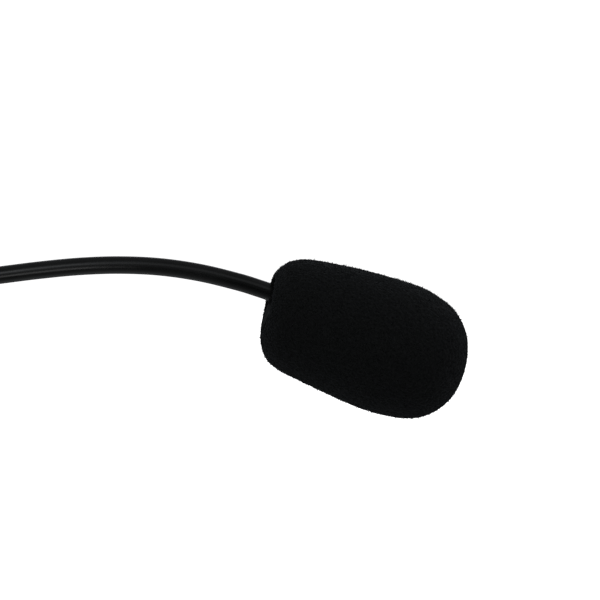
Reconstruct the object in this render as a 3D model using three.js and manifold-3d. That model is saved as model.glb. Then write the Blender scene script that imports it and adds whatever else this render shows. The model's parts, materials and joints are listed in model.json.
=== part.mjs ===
// Behind-the-neck headset microphone: spring band, two ear units with hooks,
// a boom clamp on the right ear unit, a bendable sleeved boom, a small capsule
// and its foam windscreen. Millimetres, +X the way the wearer faces, +Z up.
import * as THREE from 'three';
import { mergeVertices } from 'three/addons/utils/BufferGeometryUtils.js';
import Module from 'manifold-3d';

const wasm = await Module();
wasm.setup();

// ---------------------------------------------------------------- dimensions
const GAP = 0.3;                 // running and assembly gap

// windscreen, axial station from its base against radius
const FOAM_PROFILE = [
  [0.0, 7.7], [1.3, 8.8], [4.4, 9.75], [9.5, 10.63], [15.8, 11.35], [22.1, 11.79],
  [27.4, 11.54], [31.1, 10.55], [33.7, 9.12], [35.8, 6.82], [37.1, 3.6], [37.5, 0]];
const FOAM_BORE_R = 4.95;
const FOAM_BORE_DEPTH = 24.2;

// boom
const SLEEVE_R = 1.5, SLEEVE_BORE = 1.2;      // outer sleeve
const NECK_R = 0.9, NECK_BORE = 0.55;         // bendable coil inside it
const LEAD_R = 0.28;                          // screened lead inside the coil
const TUBE_R = 2.0, TUBE_BORE = 1.25;         // stiff rear tube held by the clamp
const TUBE_REAR = -16, TUBE_FRONT = 30;       // along the boom from the pivot
const SEGMENTS = 7;
const SEGMENT_GAP = 0.7;
const VIEW = THREE.MathUtils.degToRad(10);    // plane that the boom's arch lies in
const BOOM_YAW = THREE.MathUtils.degToRad(16);
const PIVOT = new THREE.Vector3(0, -86, 24);  // boom pivot in the clamp
const BOOM_REACH = 119;                       // pivot to windscreen, along the arch plane
// arch of the boom: distance from its front end against height above that end
const ARCH = [[-119, -6.03], [-100, -3.6], [-80, -1.04], [-60, 1.52], [-47.7, 3.09], [-40.7, 3.96], [-33.7, 4.62],
  [-26.7, 4.86], [-19.6, 4.54], [-12.6, 3.52], [-5.6, 1.82], [-2.1, 0.72], [0, 0]];
const CAPSULE_PITCH = THREE.MathUtils.degToRad(19.4);
const CAPSULE_DROP = 2.11;                    // capsule axis below the boom's axis
const CAPSULE_SET = 1.16;                     // boom end past the windscreen's base

// capsule
const CAP_R = 4.6, CAP_BORE = 3.8;

// ear units
const EAR_IN = 70, EAR_SPLIT = 72.05, EAR_OUT = 79;
const EAR_W = 14, EAR_H = 36, EAR_CORNER = 4, WALL = 1.6;
const EAR_MID = 74.5;
const STRIP_Z = 16;                           // band height at the ears
const NAPE_Z = 9;                             // and at the nape
const STRIP_T = 0.8, STRIP_H = 6;
const SLEEVE_T = 3.0, SLEEVE_H = 8.6;
const SNOUT_REAR = -25;
const LEAF_X = -16;                           // middle of the slide's leaf spring
const BAND_R = 52, BAND_X = -92, BAND_CORNER_X = -40;
const PAD_HALF = 24;
const FLEX_Y = 24.7;                          // where each leg flexes

// ear hooks (x against z)
const HOOK = [[0, 38.6], [0, 46], [-1.8, 56], [-7.2, 66.6], [-17, 74.2], [-28.5, 76.4], [-39, 71.4], [-45.2, 60.5], [-46.8, 48.5], [-45.2, 38.5], [-42.4, 30.5]];
const HOOK_R = 1.75, WIRE_R = 0.8;

// ------------------------------------------------------------------- helpers
const group = new THREE.Group();
const V = (x, y, z) => new THREE.Vector3(x, y, z);

function clean(geometry) {
  const g = geometry.clone();
  g.deleteAttribute('normal');
  g.deleteAttribute('uv');
  const m = mergeVertices(g, 1e-4);
  const p = m.attributes.position.array;
  const idx = Array.from(m.index.array);
  const tris = [];
  let volume = 0;
  for (let i = 0; i < idx.length; i += 3) {
    const [a, b, c] = [idx[i], idx[i + 1], idx[i + 2]];
    if (a === b || b === c || c === a) continue;
    tris.push(a, b, c);
    const [A, B, C] = [a, b, c].map((k) => V(p[3 * k], p[3 * k + 1], p[3 * k + 2]));
    volume += A.dot(B.cross(C)) / 6;
  }
  if (volume < 0) for (let i = 0; i < tris.length; i += 3) [tris[i + 1], tris[i + 2]] = [tris[i + 2], tris[i + 1]];
  const out = new THREE.BufferGeometry();
  out.setAttribute('position', new THREE.BufferAttribute(new Float32Array(p), 3));
  out.setIndex(tris);
  return out;
}
function solid(geometry) {
  const g = clean(geometry);
  return new wasm.Manifold(new wasm.Mesh({
    numProp: 3,
    vertProperties: new Float32Array(g.attributes.position.array),
    triVerts: new Uint32Array(g.index.array),
  }));
}
function fromSolid(man) {
  const mesh = man.getMesh();
  const g = new THREE.BufferGeometry();
  g.setAttribute('position', new THREE.BufferAttribute(new Float32Array(mesh.vertProperties), 3));
  g.setIndex(Array.from(mesh.triVerts));
  return g;
}
const cutAll = (s, ...rest) => rest.reduce((t, g) => t.subtract(solid(g)), s);

function place(geometry, origin, xAxis, yAxis, zAxis) {
  const m = new THREE.Matrix4().makeBasis(xAxis, yAxis, zAxis).setPosition(origin);
  return geometry.clone().applyMatrix4(m);
}
// box from its low and high corners
function block(lo, hi) {
  const g = new THREE.BoxGeometry(hi[0] - lo[0], hi[1] - lo[1], hi[2] - lo[2]);
  return g.translate((lo[0] + hi[0]) / 2, (lo[1] + hi[1]) / 2, (lo[2] + hi[2]) / 2);
}
// round bar from a to b
function bar(a, b, r, sides = 16, r2 = r) {
  const d = b.clone().sub(a);
  const g = new THREE.CylinderGeometry(r2, r, d.length(), sides);
  g.applyQuaternion(new THREE.Quaternion().setFromUnitVectors(V(0, 1, 0), d.clone().normalize()));
  const c = a.clone().add(b).multiplyScalar(0.5);
  return g.translate(c.x, c.y, c.z);
}
// turned piece: profile of [station, radius] pairs, closed on itself or on the axis
function turned(profile, origin, axis, sides = 24, side = null) {
  const pts = profile.map(([s, r]) => new THREE.Vector2(Math.max(r, 0), s));
  const first = profile[0], last = profile[profile.length - 1];
  if (first[1] > 0 && (first[0] !== last[0] || first[1] !== last[1])) pts.push(pts[0].clone());
  const g = new THREE.LatheGeometry(pts, sides);
  const y = axis.clone().normalize();
  let z = side ? side.clone() : (Math.abs(y.z) < 0.9 ? V(0, 0, 1) : V(1, 0, 0));
  z.addScaledVector(y, -z.dot(y)).normalize();
  const x = y.clone().cross(z);
  return place(g, origin, x, y, z);
}
const ringShape = (ro, ri, sides) => {
  const s = new THREE.Shape();
  for (let i = 0; i < sides; i++) {
    const a = (2 * Math.PI * i) / sides;
    if (i === 0) s.moveTo(ro, 0); else s.lineTo(ro * Math.cos(a), ro * Math.sin(a));
  }
  s.closePath();
  if (ri) {
    const h = new THREE.Path();
    for (let i = 0; i < sides; i++) {
      const a = (-2 * Math.PI * i) / sides;
      if (i === 0) h.moveTo(ri, 0); else h.lineTo(ri * Math.cos(a), ri * Math.sin(a));
    }
    h.closePath();
    s.holes.push(h);
  }
  return s;
};
// tube along points
function tube(points, ro, ri, sides, steps) {
  const path = points.length === 2 ? new THREE.LineCurve3(points[0], points[1]) : new THREE.CatmullRomCurve3(points, false, 'centripetal');
  return new THREE.ExtrudeGeometry(ringShape(ro, ri, sides), { steps, bevelEnabled: false, extrudePath: path, curveSegments: 1 });
}
// outline in a plane, extruded; rounded rectangle centred on (cx, cy)
function roundRect(w, h, r, cx = 0, cy = 0, per = 4) {
  const s = new THREE.Shape();
  const c = [[w / 2 - r, h / 2 - r, 0], [-(w / 2 - r), h / 2 - r, 1], [-(w / 2 - r), -(h / 2 - r), 2], [w / 2 - r, -(h / 2 - r), 3]];
  let first = true;
  for (const [x, y, q] of c) for (let i = 0; i <= per; i++) {
    const a = (q + i / per) * Math.PI / 2;
    const px = cx + x + r * Math.cos(a), py = cy + y + r * Math.sin(a);
    if (first) { s.moveTo(px, py); first = false; } else s.lineTo(px, py);
  }
  s.closePath();
  return s;
}
// shape given in (x, z), extruded along y from y0 to y1
function slabY(shape, y0, y1) {
  const g = new THREE.ExtrudeGeometry(shape, { depth: y1 - y0, bevelEnabled: false, curveSegments: 8 });
  return place(g, V(0, y0, 0), V(1, 0, 0), V(0, 0, 1), V(0, 1, 0));
}
// shape given in (y, z), extruded along x from x0 to x1
function slabX(shape, x0, x1) {
  const g = new THREE.ExtrudeGeometry(shape, { depth: x1 - x0, bevelEnabled: false, curveSegments: 8 });
  return place(g, V(x0, 0, 0), V(0, 1, 0), V(0, 0, 1), V(1, 0, 0));
}
// flat bar bent along a plan line: thickness across, height up, lifted by lift(x, y)
function ribbon(plan, thick, height, lift) {
  const n = plan.map((p, i) => {
    const a = plan[Math.max(i - 1, 0)], b = plan[Math.min(i + 1, plan.length - 1)];
    return new THREE.Vector2(b.y - a.y, a.x - b.x).normalize();
  });
  const steps = plan.length - 1;
  const g = new THREE.BoxGeometry(steps, thick, height, steps, 1, 1);
  const a = g.attributes.position;
  for (let i = 0; i < a.count; i++) {
    const k = Math.round(a.getX(i) + steps / 2);
    const q = plan[k].clone().addScaledVector(n[k], a.getY(i));
    a.setXYZ(i, q.x, q.y, a.getZ(i) + lift(plan[k].x, plan[k].y));
  }
  return g;
}

function mat(color, roughness, metalness = 0) {
  return new THREE.MeshStandardMaterial({ color, roughness, metalness });
}
const M = {
  abs: mat(0x1b1c1e, 0.5), steel: mat(0xb9bcc0, 0.3, 1), silicone: mat(0x17181a, 0.6), rubber: mat(0x101112, 0.75),
  sleeve: mat(0x0b0c0d, 0.4), foam: mat(0x0c0d0f, 0.95), brass: mat(0xc9a55a, 0.35, 1), board: mat(0x1f4a2c, 0.5),
  dark: mat(0x2a2c2f, 0.4, 1), felt: mat(0x2b2b2d, 0.95), lead: mat(0x141414, 0.6),
};
function node(name, shape, material) {
  const geometry = shape.getMesh ? fromSolid(shape) : clean(shape);
  const mesh = new THREE.Mesh(geometry, material);
  mesh.name = name;
  group.add(mesh);
  return mesh;
}
// right-hand pieces are built at y < 0; the left-hand copy is their mirror image
const mirror = (shape) => (shape.getMesh ? fromSolid(shape) : shape.clone()).applyMatrix4(new THREE.Matrix4().makeScale(1, -1, 1));
function pair(name, shape, material) {
  node(`right_${name}`, shape, material);
  node(`left_${name}`, mirror(shape), material);
}

// ----------------------------------------------------------------- neck band
const smooth = (t) => { const k = Math.min(Math.max(t, 0), 1); return k * k * (3 - 2 * k); };
const lift = (x) => NAPE_Z + (STRIP_Z - NAPE_Z) * smooth((x - BAND_X) / (BAND_CORNER_X - BAND_X));
const cornerY = EAR_MID - BAND_R;
// plan of the right half of the band, from the nape to the ear unit; every piece
// of the band turns the corner through the same points, so they nest
const CORNER_STEPS = 16;
function bandPlan(y0, xEnd) {
  const at = (a) => new THREE.Vector2(BAND_CORNER_X - BAND_R * Math.cos(a), -cornerY - BAND_R * Math.sin(a));
  const a0 = Math.asin((y0 - cornerY) / BAND_R);
  const i0 = Math.ceil((a0 / (Math.PI / 2)) * CORNER_STEPS + 0.3);
  // the first point lies on the chord that the corner's points make
  const step = Math.PI / 2 / CORNER_STEPS;
  const [p, q] = [at((i0 - 1) * step), at(i0 * step)];
  const t = (y0 + p.y) / (p.y - q.y);
  const pts = [p.clone().lerp(q, t)];
  for (let i = i0; i <= CORNER_STEPS; i++) pts.push(at(i * step));
  pts.push(new THREE.Vector2(xEnd, -EAR_MID));
  return pts;
}
const legStrip = ribbon(bandPlan(FLEX_Y + SEGMENT_GAP / 2, 4.6), STRIP_T, STRIP_H, lift);
node('band_strip_right', legStrip, M.steel);
node('band_strip_left', mirror(legStrip), M.steel);
const legSleeve = ribbon(bandPlan(FLEX_Y + 1.3, SNOUT_REAR - 1.0), SLEEVE_T, SLEEVE_H, lift);
// the passage for the strip runs past both ends of the sleeve
const passage = ribbon(bandPlan(FLEX_Y + 0.6, SNOUT_REAR + 2.0), STRIP_T + 2 * GAP, STRIP_H + 2 * GAP, lift);
const legSleeveSolid = solid(legSleeve).subtract(solid(passage));
node('band_sleeve_right', legSleeveSolid, M.rubber);
node('band_sleeve_left', mirror(legSleeveSolid), M.rubber);

// strip under the nape pad, a flat length with two screw holes
const centrePlan = [];
for (let i = 0; i <= 12; i++) {
  const y = -(FLEX_Y - SEGMENT_GAP / 2) + (2 * (FLEX_Y - SEGMENT_GAP / 2) * i) / 12;
  const over = Math.max(Math.abs(y) - cornerY, 0);
  centrePlan.push(new THREE.Vector2(BAND_CORNER_X - Math.sqrt(BAND_R ** 2 - over ** 2), y));
}
const NAPE_SCREW_Y = 14;
let centreStrip = solid(ribbon(centrePlan, STRIP_T, STRIP_H, () => NAPE_Z));
for (const y of [-NAPE_SCREW_Y, NAPE_SCREW_Y]) centreStrip = cutAll(centreStrip, bar(V(BAND_X - 3, y, NAPE_Z), V(BAND_X + 3, y, NAPE_Z), 1.3, 12));
node('band_strip_centre', centreStrip, M.steel);

// nape pad: soft inner cushion and a stiff outer cover, clamped on the strip by two screws
const padShape = roundRect(2 * PAD_HALF, 18, 5, 0, NAPE_Z, 4);
let padInner = solid(slabX(padShape, BAND_X + 0.75, BAND_X + 6.2));
let padOuter = solid(slabX(padShape, BAND_X - 4.0, BAND_X - 0.75));
for (const y of [-NAPE_SCREW_Y, NAPE_SCREW_Y]) {
  padInner = cutAll(padInner, bar(V(BAND_X, y, NAPE_Z), V(BAND_X + 3.6, y, NAPE_Z), 1.3, 12));
  padOuter = cutAll(padOuter, bar(V(BAND_X - 5, y, NAPE_Z), V(BAND_X, y, NAPE_Z), 1.3, 12), bar(V(BAND_X - 5, y, NAPE_Z), V(BAND_X - 2.4, y, NAPE_Z), 2.2, 14));
}
node('nape_pad_inner', padInner, M.silicone);
node('nape_pad_outer', padOuter, M.abs);
for (const [side, y] of [['right', -NAPE_SCREW_Y], ['left', NAPE_SCREW_Y]]) {
  node(`nape_screw_${side}`, turned([[0.35, 0], [0.35, 1.1], [0.8, 1.85], [1.3, 1.85], [1.3, 0.95], [7.0, 0.95], [7.3, 0.7], [7.3, 0]], V(BAND_X - 4.0, y, NAPE_Z), V(1, 0, 0), 10), M.steel);
}

// ------------------------------------------------------------------ ear units
const MIDZ = EAR_H / 2;
const outline = roundRect(EAR_W, EAR_H, EAR_CORNER, 0, MIDZ, 4);
const inner = roundRect(EAR_W - 2 * WALL, EAR_H - 2 * WALL, EAR_CORNER - WALL, 0, MIDZ, 3);
const BOSS = [6, 29.1];
const shellFloor = -EAR_OUT + 1.7;
let shell = solid(slabY(outline, -EAR_OUT, -EAR_SPLIT - GAP / 2));
shell = cutAll(shell, slabY(inner, shellFloor, -EAR_SPLIT + 1));
shell = shell.add(solid(block([SNOUT_REAR, -EAR_MID - 3.7, STRIP_Z - 4.3], [-EAR_W / 2 + 0.8, -EAR_SPLIT - GAP / 2, STRIP_Z + 4.3])));
for (const z of BOSS) shell = shell.add(solid(bar(V(0, -EAR_OUT + 0.5, z), V(0, -EAR_SPLIT - GAP / 2, z), 1.9, 14)));
shell = cutAll(shell,
  block([SNOUT_REAR - 1, -EAR_MID - STRIP_T / 2 - GAP, STRIP_Z - STRIP_H / 2 - GAP], [-EAR_W / 2 + 2, -EAR_MID + STRIP_T / 2 + GAP, STRIP_Z + STRIP_H / 2 + GAP]),
  block([LEAF_X - 6.4, -EAR_MID - 2.75, STRIP_Z - 2.7], [LEAF_X + 6.4, -EAR_MID, STRIP_Z + 2.7]),
  bar(V(0, -EAR_OUT - 1, PIVOT.z), V(0, -EAR_OUT + 2.5, PIVOT.z), 1.5, 16),
  bar(V(0, -EAR_MID, EAR_H - WALL - 0.6), V(0, -EAR_MID, EAR_H + 1), 1.3, 14));
for (const z of BOSS) shell = cutAll(shell, bar(V(0, -76.2, z), V(0, -EAR_SPLIT + 1, z), 1.1, 12));
pair('ear_shell', shell, M.abs);

let cover = solid(slabY(outline, -EAR_SPLIT + GAP / 2, -EAR_IN));
for (const z of BOSS) cover = cutAll(cover, bar(V(0, -EAR_SPLIT - 1, z), V(0, -EAR_IN + 1, z), 1.1, 12), bar(V(0, -EAR_IN - 1.05, z), V(0, -EAR_IN + 1, z), 1.85, 14));
pair('ear_cover', cover, M.abs);
const coverScrew = (z) => turned([[0, 0], [0, 0.9], [0.25, 1.5], [0.75, 1.5], [0.75, 0.8], [5.2, 0.8], [5.5, 0.55], [5.5, 0]], V(0, -EAR_IN - 0.15, z), V(0, -1, 0), 10);
pair('cover_screw_lower', coverScrew(BOSS[0]), M.steel);
pair('cover_screw_upper', coverScrew(BOSS[1]), M.steel);
// bowed leaf that presses on the strip and holds the slide where it is set
const leafPlan = [];
for (let i = 0; i <= 10; i++) { const x = -5.6 + 11.2 * i / 10; leafPlan.push(new THREE.Vector2(LEAF_X + x, -76.95 + 1.58 * (1 - (x / 5.6) ** 2))); }
pair('slide_spring', ribbon(leafPlan, 0.3, 4.6, () => STRIP_Z), M.steel);

// ------------------------------------------------------------------ ear hooks
const hookPts = HOOK.map(([x, z], i) => V(x, -EAR_MID + (i > 5 ? 2.0 * smooth((i - 5) / 5) : 0), z));
const hookCurve = new THREE.CatmullRomCurve3(hookPts, false, 'centripetal');
const upto = (t0, t1, n) => { const out = []; for (let i = 0; i <= n; i++) out.push(hookCurve.getPointAt(t0 + (t1 - t0) * i / n)); return out; };
let knuckle = solid(turned([[-4.9, 0], [-4.9, 0.8], [-4.7, 1.0], [-2.9, 1.0], [-2.9, 0.6], [-2.1, 0.6], [-2.1, 1.0], [GAP, 1.0], [GAP, 3.0], [1.0, 3.3], [3.2, 3.3], [5.4, 2.5], [6.2, 2.1], [6.2, 0]],
  V(0, -EAR_MID, EAR_H), V(0, 0, 1), 12));
knuckle = cutAll(knuckle, bar(V(0, -EAR_MID, EAR_H + 2.2), V(0, -EAR_MID, EAR_H + 8), WIRE_R + GAP, 10));
pair('hook_knuckle', knuckle, M.abs);
pair('hook_wire', tube(upto(0, 0.975, 18), WIRE_R, 0, 6, 18), M.steel);
const sleeveStart = 0.034;
const hookTail = hookCurve.getPointAt(1);
const hookSleeve = solid(tube(upto(sleeveStart, 1, 18), HOOK_R, WIRE_R + GAP, 8, 18))
  .add(solid(new THREE.IcosahedronGeometry(2.2, 1).translate(hookTail.x, hookTail.y, hookTail.z - 0.3)));
pair('hook_sleeve', hookSleeve, M.silicone);
// retaining clip in the pin's groove
const clip = new THREE.Shape();
for (let i = 0; i <= 10; i++) { const a = 0.5 + (2 * Math.PI - 1.0) * i / 10; const f = i ? 'lineTo' : 'moveTo'; clip[f](2.1 * Math.cos(a), 2.1 * Math.sin(a)); }
for (let i = 10; i >= 0; i--) { const a = 0.5 + (2 * Math.PI - 1.0) * i / 10; clip.lineTo(0.9 * Math.cos(a), 0.9 * Math.sin(a)); }
clip.closePath();
pair('hook_clip', new THREE.ExtrudeGeometry(clip, { depth: 0.4, bevelEnabled: false }).translate(0, -EAR_MID, EAR_H - 2.7), M.steel);

// --------------------------------------------------- boom clamp on the right
const tilt = Math.atan(0.128 * Math.cos(VIEW));
const E = V(Math.cos(tilt), 0, Math.sin(tilt));            // along the boom at the clamp
const U = V(-Math.sin(tilt), 0, Math.cos(tilt));           // up, square to it
const S = V(0, -1, 0);                                     // away from the head
const onBoom = (t) => PIVOT.clone().addScaledVector(E, t);

node('pivot_friction_washer', turned([[0, 1.5], [0.6, 1.5], [0.6, 5.2], [0, 5.2]], V(0, -EAR_OUT - GAP, PIVOT.z), S, 18), M.rubber);
node('pivot_spring_washer', turned([[0, 1.5], [0.5, 1.5], [0.5, 2.7], [0, 2.7]], V(0, shellFloor + GAP, PIVOT.z), V(0, 1, 0), 14), M.steel);
node('pivot_screw', turned([[0, 0], [0, 1.9], [0.3, 2.4], [1.2, 2.4], [1.2, 1.15], [7.7, 1.15], [8.0, 0.9], [8.0, 0]], V(0, shellFloor + 2.3, PIVOT.z), S, 12), M.steel);
const discY = -EAR_OUT - 1.2;                              // back of the clamp's disc
const clampBlock = place(new THREE.ExtrudeGeometry(roundRect(11, 8.6, 1.6, 0, 0, 3), { depth: 8.6, bevelEnabled: false }), V(0, discY - 1.2, PIVOT.z), E, U, S);
let clamp = solid(clampBlock).add(solid(turned([[0, 0], [0, 5.4], [0.4, 5.8], [1.5, 5.8], [1.8, 5.3], [1.8, 0]], V(0, discY, PIVOT.z), S, 20)));
clamp = cutAll(clamp, bar(onBoom(-8), onBoom(8), TUBE_R + GAP, 16),
  bar(V(0, discY + 1, PIVOT.z), V(0, discY - 2.9, PIVOT.z), 1.45, 16),
  bar(PIVOT.clone(), PIVOT.clone().addScaledVector(U, 6), 1.45, 14));
node('boom_clamp_body', clamp, M.abs);
const knobBase = PIVOT.clone().addScaledVector(U, 4.3 + GAP);
const flutes = 10;
const knobShape = new THREE.Shape();
for (let i = 0; i < flutes * 2; i++) {
  const a = (2 * Math.PI * i) / (flutes * 2);
  const r = [3.9, 3.5][i % 2];
  const f = i ? 'lineTo' : 'moveTo';
  knobShape[f](r * Math.cos(a), r * Math.sin(a));
}
knobShape.closePath();
let knob = solid(place(new THREE.ExtrudeGeometry(knobShape, { depth: 3.4, bevelEnabled: false }), knobBase.clone().addScaledVector(U, 0.4), E, S.clone().negate(), U));
knob = knob.add(solid(turned([[0, 0], [0, 2.6], [0.8, 3.3], [4.0, 3.3], [4.5, 2.6], [4.5, 0]], knobBase, U, 18)));
knob = cutAll(knob, bar(knobBase.clone().addScaledVector(U, -1), knobBase.clone().addScaledVector(U, 2.8), 1.4, 14));
node('clamp_knob', knob, M.abs);
node('clamp_stud', turned([[TUBE_R + GAP + 0.1, 0], [TUBE_R + GAP + 0.1, 0.8], [TUBE_R + GAP + 0.5, 1.1], [6.9, 1.1], [6.9, 0]], PIVOT, U, 14), M.brass);

// right-hand holder hole is used by the clamp; the left one is closed by a plug
node('left_blanking_plug', mirror(turned([[-1.5, 0], [-1.5, 0.9], [-1.2, 1.15], [GAP, 1.15], [GAP, 5.2], [0.9, 5.2], [1.5, 4.4], [1.5, 0]], V(0, -EAR_OUT, PIVOT.z), S, 16)), M.abs);

// ----------------------------------------------------------------- boom route
function arch(u) {
  let i = 0;
  while (i < ARCH.length - 2 && u > ARCH[i + 1][0]) i++;
  const P = (k) => ARCH[Math.min(Math.max(k, 0), ARCH.length - 1)];
  const [x0, y0] = P(i), [x1, y1] = P(i + 1);
  const slope = (k) => {
    const [a, b] = [P(k - 1), P(k + 1)];
    if (k <= 0) return 0.128;
    if (k >= ARCH.length - 1) return -Math.tan(CAPSULE_PITCH) / Math.cos(BOOM_YAW - VIEW);
    return (b[1] - a[1]) / (b[0] - a[0]);
  };
  const h = x1 - x0, t = (u - x0) / h;
  const [m0, m1] = [slope(i) * h, slope(i + 1) * h];
  return (2 * t ** 3 - 3 * t ** 2 + 1) * y0 + (t ** 3 - 2 * t ** 2 + t) * m0 + (-2 * t ** 3 + 3 * t ** 2) * y1 + (t ** 3 - t ** 2) * m1;
}
const STEP = 0.25;
function route(planLength) {
  const pts = [];
  let x = 0, y = 0;
  const straight = TUBE_FRONT * Math.cos(tilt);
  for (let l = 0; l <= planLength + 1e-9; l += STEP) {
    pts.push([x, y, x * Math.cos(VIEW) + y * Math.sin(VIEW)]);
    const head = BOOM_YAW * Math.min(Math.max((l + STEP / 2 - straight) / (planLength - straight), 0), 1);
    x += STEP * Math.cos(head);
    y += STEP * Math.sin(head);
  }
  return pts;
}
let planLength = 110;
while (route(planLength).at(-1)[2] < BOOM_REACH) planLength += STEP;
const planPts = route(planLength);
const uEnd = planPts.at(-1)[2];
const boomPts = planPts.map(([x, y, u]) => V(PIVOT.x + x, PIVOT.y + y, PIVOT.z + arch(u - uEnd) - arch(-uEnd)));
const boomLen = [0];
for (let i = 1; i < boomPts.length; i++) boomLen.push(boomLen[i - 1] + boomPts[i].distanceTo(boomPts[i - 1]));
const BOOM_END = boomLen.at(-1);
function boomAt(s) {
  if (s <= 0) return onBoom(s);
  let i = 0;
  while (i < boomLen.length - 2 && boomLen[i + 1] < s) i++;
  const t = (s - boomLen[i]) / (boomLen[i + 1] - boomLen[i]);
  return boomPts[i].clone().lerp(boomPts[i + 1], t);
}
const boomTangent = (s) => boomAt(Math.min(s + 0.6, BOOM_END)).sub(boomAt(Math.min(s, BOOM_END) - 0.6)).normalize();
const along = (s0, s1, n) => { const out = []; for (let i = 0; i <= n; i++) out.push(boomAt(s0 + (s1 - s0) * i / n)); return out; };

// rear tube, cable bush and front collar
node('boom_tube', tube([onBoom(TUBE_REAR), onBoom(TUBE_FRONT)], TUBE_R, TUBE_BORE, 14, 1), M.dark);
node('boom_gland', turned([[TUBE_REAR - 9.6, 1.1], [TUBE_REAR - 9.6, 1.85], [TUBE_REAR - 9.3, 2.0], [TUBE_REAR - 3.2, 2.3], [TUBE_REAR - GAP, 2.3], [TUBE_REAR - GAP, 0.95], [TUBE_REAR + 2.6, 0.95],
  [TUBE_REAR + 2.6, 0.6], [TUBE_REAR - 3.4, 0.6], [TUBE_REAR - 3.4, 1.1]], PIVOT, E, 12), M.rubber);
const COLLAR = [TUBE_FRONT - 2.6, TUBE_FRONT + 4];
node('boom_collar', turned([[COLLAR[0], 2.3], [COLLAR[0], 2.7], [COLLAR[0] + 0.4, 2.9], [TUBE_FRONT + 1.5, 2.9], [COLLAR[1] - 0.3, 2.1], [COLLAR[1], 1.9], [COLLAR[1], 1.2], [TUBE_FRONT + GAP, 1.2], [TUBE_FRONT + GAP, 2.3]], PIVOT, E, 14), M.dark);

// sleeve and coil, in short stiff lengths that bend against each other
const FLEX_START = COLLAR[1] + GAP;
const pitchLen = (BOOM_END - FLEX_START) / SEGMENTS;
const joints = [];
for (let i = 0; i < SEGMENTS; i++) {
  const s0 = FLEX_START + i * pitchLen + (i ? SEGMENT_GAP / 2 : 0);
  const s1 = FLEX_START + (i + 1) * pitchLen - (i < SEGMENTS - 1 ? SEGMENT_GAP / 2 : 0);
  node(`boom_sleeve_${i + 1}`, tube(along(s0, s1, 3), SLEEVE_R, SLEEVE_BORE, 12, 3), M.sleeve);
  let neck = i ? along(s0, s1, 3) : along(FLEX_START - 6, s1, 3);
  if (i === SEGMENTS - 1) {
    const end = boomAt(BOOM_END);
    neck = [...along(s0, s1 - 1.5, 3), end, end.clone().addScaledVector(boomTangent(BOOM_END), 3.2)];
  }
  node(`boom_coil_${i + 1}`, tube(neck, NECK_R, NECK_BORE, 8, i === SEGMENTS - 1 ? 5 : 3), M.steel);
  if (i) joints.push(FLEX_START + i * pitchLen);
}

// ------------------------------------------------------------------- capsule
const A = V(Math.cos(CAPSULE_PITCH) * Math.cos(BOOM_YAW), Math.cos(CAPSULE_PITCH) * Math.sin(BOOM_YAW), -Math.sin(CAPSULE_PITCH));
const B = V(Math.sin(CAPSULE_PITCH) * Math.cos(BOOM_YAW), Math.sin(CAPSULE_PITCH) * Math.sin(BOOM_YAW), Math.cos(CAPSULE_PITCH));
const P0 = boomAt(BOOM_END);
const BASE = P0.clone().addScaledVector(A, -CAPSULE_SET).addScaledVector(B, -CAPSULE_DROP);
const inCapsule = (s, up = 0, side = 0) => BASE.clone().addScaledVector(A, s).addScaledVector(B, up).addScaledVector(A.clone().cross(B), side);

node('windscreen_foam', turned([[FOAM_BORE_DEPTH, 0], [FOAM_BORE_DEPTH, FOAM_BORE_R], [0, FOAM_BORE_R], ...FOAM_PROFILE], BASE, A, 22, B), M.foam);

let rearCap = solid(turned([[1.5, 0], [1.5, 4.0], [2.1, CAP_R], [6.0, CAP_R], [6.0, CAP_BORE - GAP], [8.6, CAP_BORE - GAP], [8.6, 0]], BASE, A, 18, B));
rearCap = cutAll(rearCap, bar(inCapsule(0.5, CAPSULE_DROP), inCapsule(4.8, CAPSULE_DROP), NECK_R + GAP, 10), bar(inCapsule(4, CAPSULE_DROP), inCapsule(9.5, CAPSULE_DROP), LEAD_R + GAP, 8));
node('capsule_rear_cap', rearCap, M.abs);
node('capsule_housing', turned([[6.3, CAP_BORE], [6.3, CAP_R], [19.0, CAP_R], [19.0, CAP_BORE]], BASE, A, 18, B), M.dark);
let grille = solid(turned([[23.2, 0], [23.2, 3.5], [22.7, 4.2], [21.7, CAP_R], [19.3, CAP_R], [19.3, CAP_BORE - GAP], [17.6, CAP_BORE - GAP], [17.6, 3.1], [22.4, 3.1], [22.4, 0]], BASE, A, 18, B));
for (let i = 0; i < 7; i++) {
  const a = (i * Math.PI) / 3, r = i === 6 ? 0 : 1.8;
  grille = cutAll(grille, bar(inCapsule(22, r * Math.cos(a), r * Math.sin(a)), inCapsule(24, r * Math.cos(a), r * Math.sin(a)), 0.55, 6));
}
node('capsule_grille', grille, M.dark);
node('capsule_felt', turned([[21.3, 0], [21.3, 2.7], [21.9, 2.7], [21.9, 0]], BASE, A, 14, B), M.felt);
node('electret_element', turned([[13.6, 0], [13.6, 2.3], [13.9, 2.6], [17.0, 2.6], [17.2, 2.3], [17.2, 0]], BASE, A, 14, B), M.brass);
node('capsule_shock_ring', turned([[14.2, 2.9], [14.2, 3.5], [16.4, 3.5], [16.4, 2.9]], BASE, A, 14, B), M.rubber);
node('capsule_board', turned([[12.2, 0], [12.2, 3.4], [12.9, 3.4], [12.9, 0]], BASE, A, 14, B), M.board);

// screened lead from the bush to the capsule's board
const leadPts = [onBoom(TUBE_REAR - 3.0), onBoom(TUBE_REAR + 20), ...along(TUBE_FRONT - 4, BOOM_END - 1, 24), inCapsule(CAPSULE_SET + 1.2, CAPSULE_DROP), inCapsule(6.5, CAPSULE_DROP), inCapsule(11.8, CAPSULE_DROP)];
node('mic_lead', tube(leadPts, LEAD_R, 0, 5, 40), M.lead);

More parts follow.
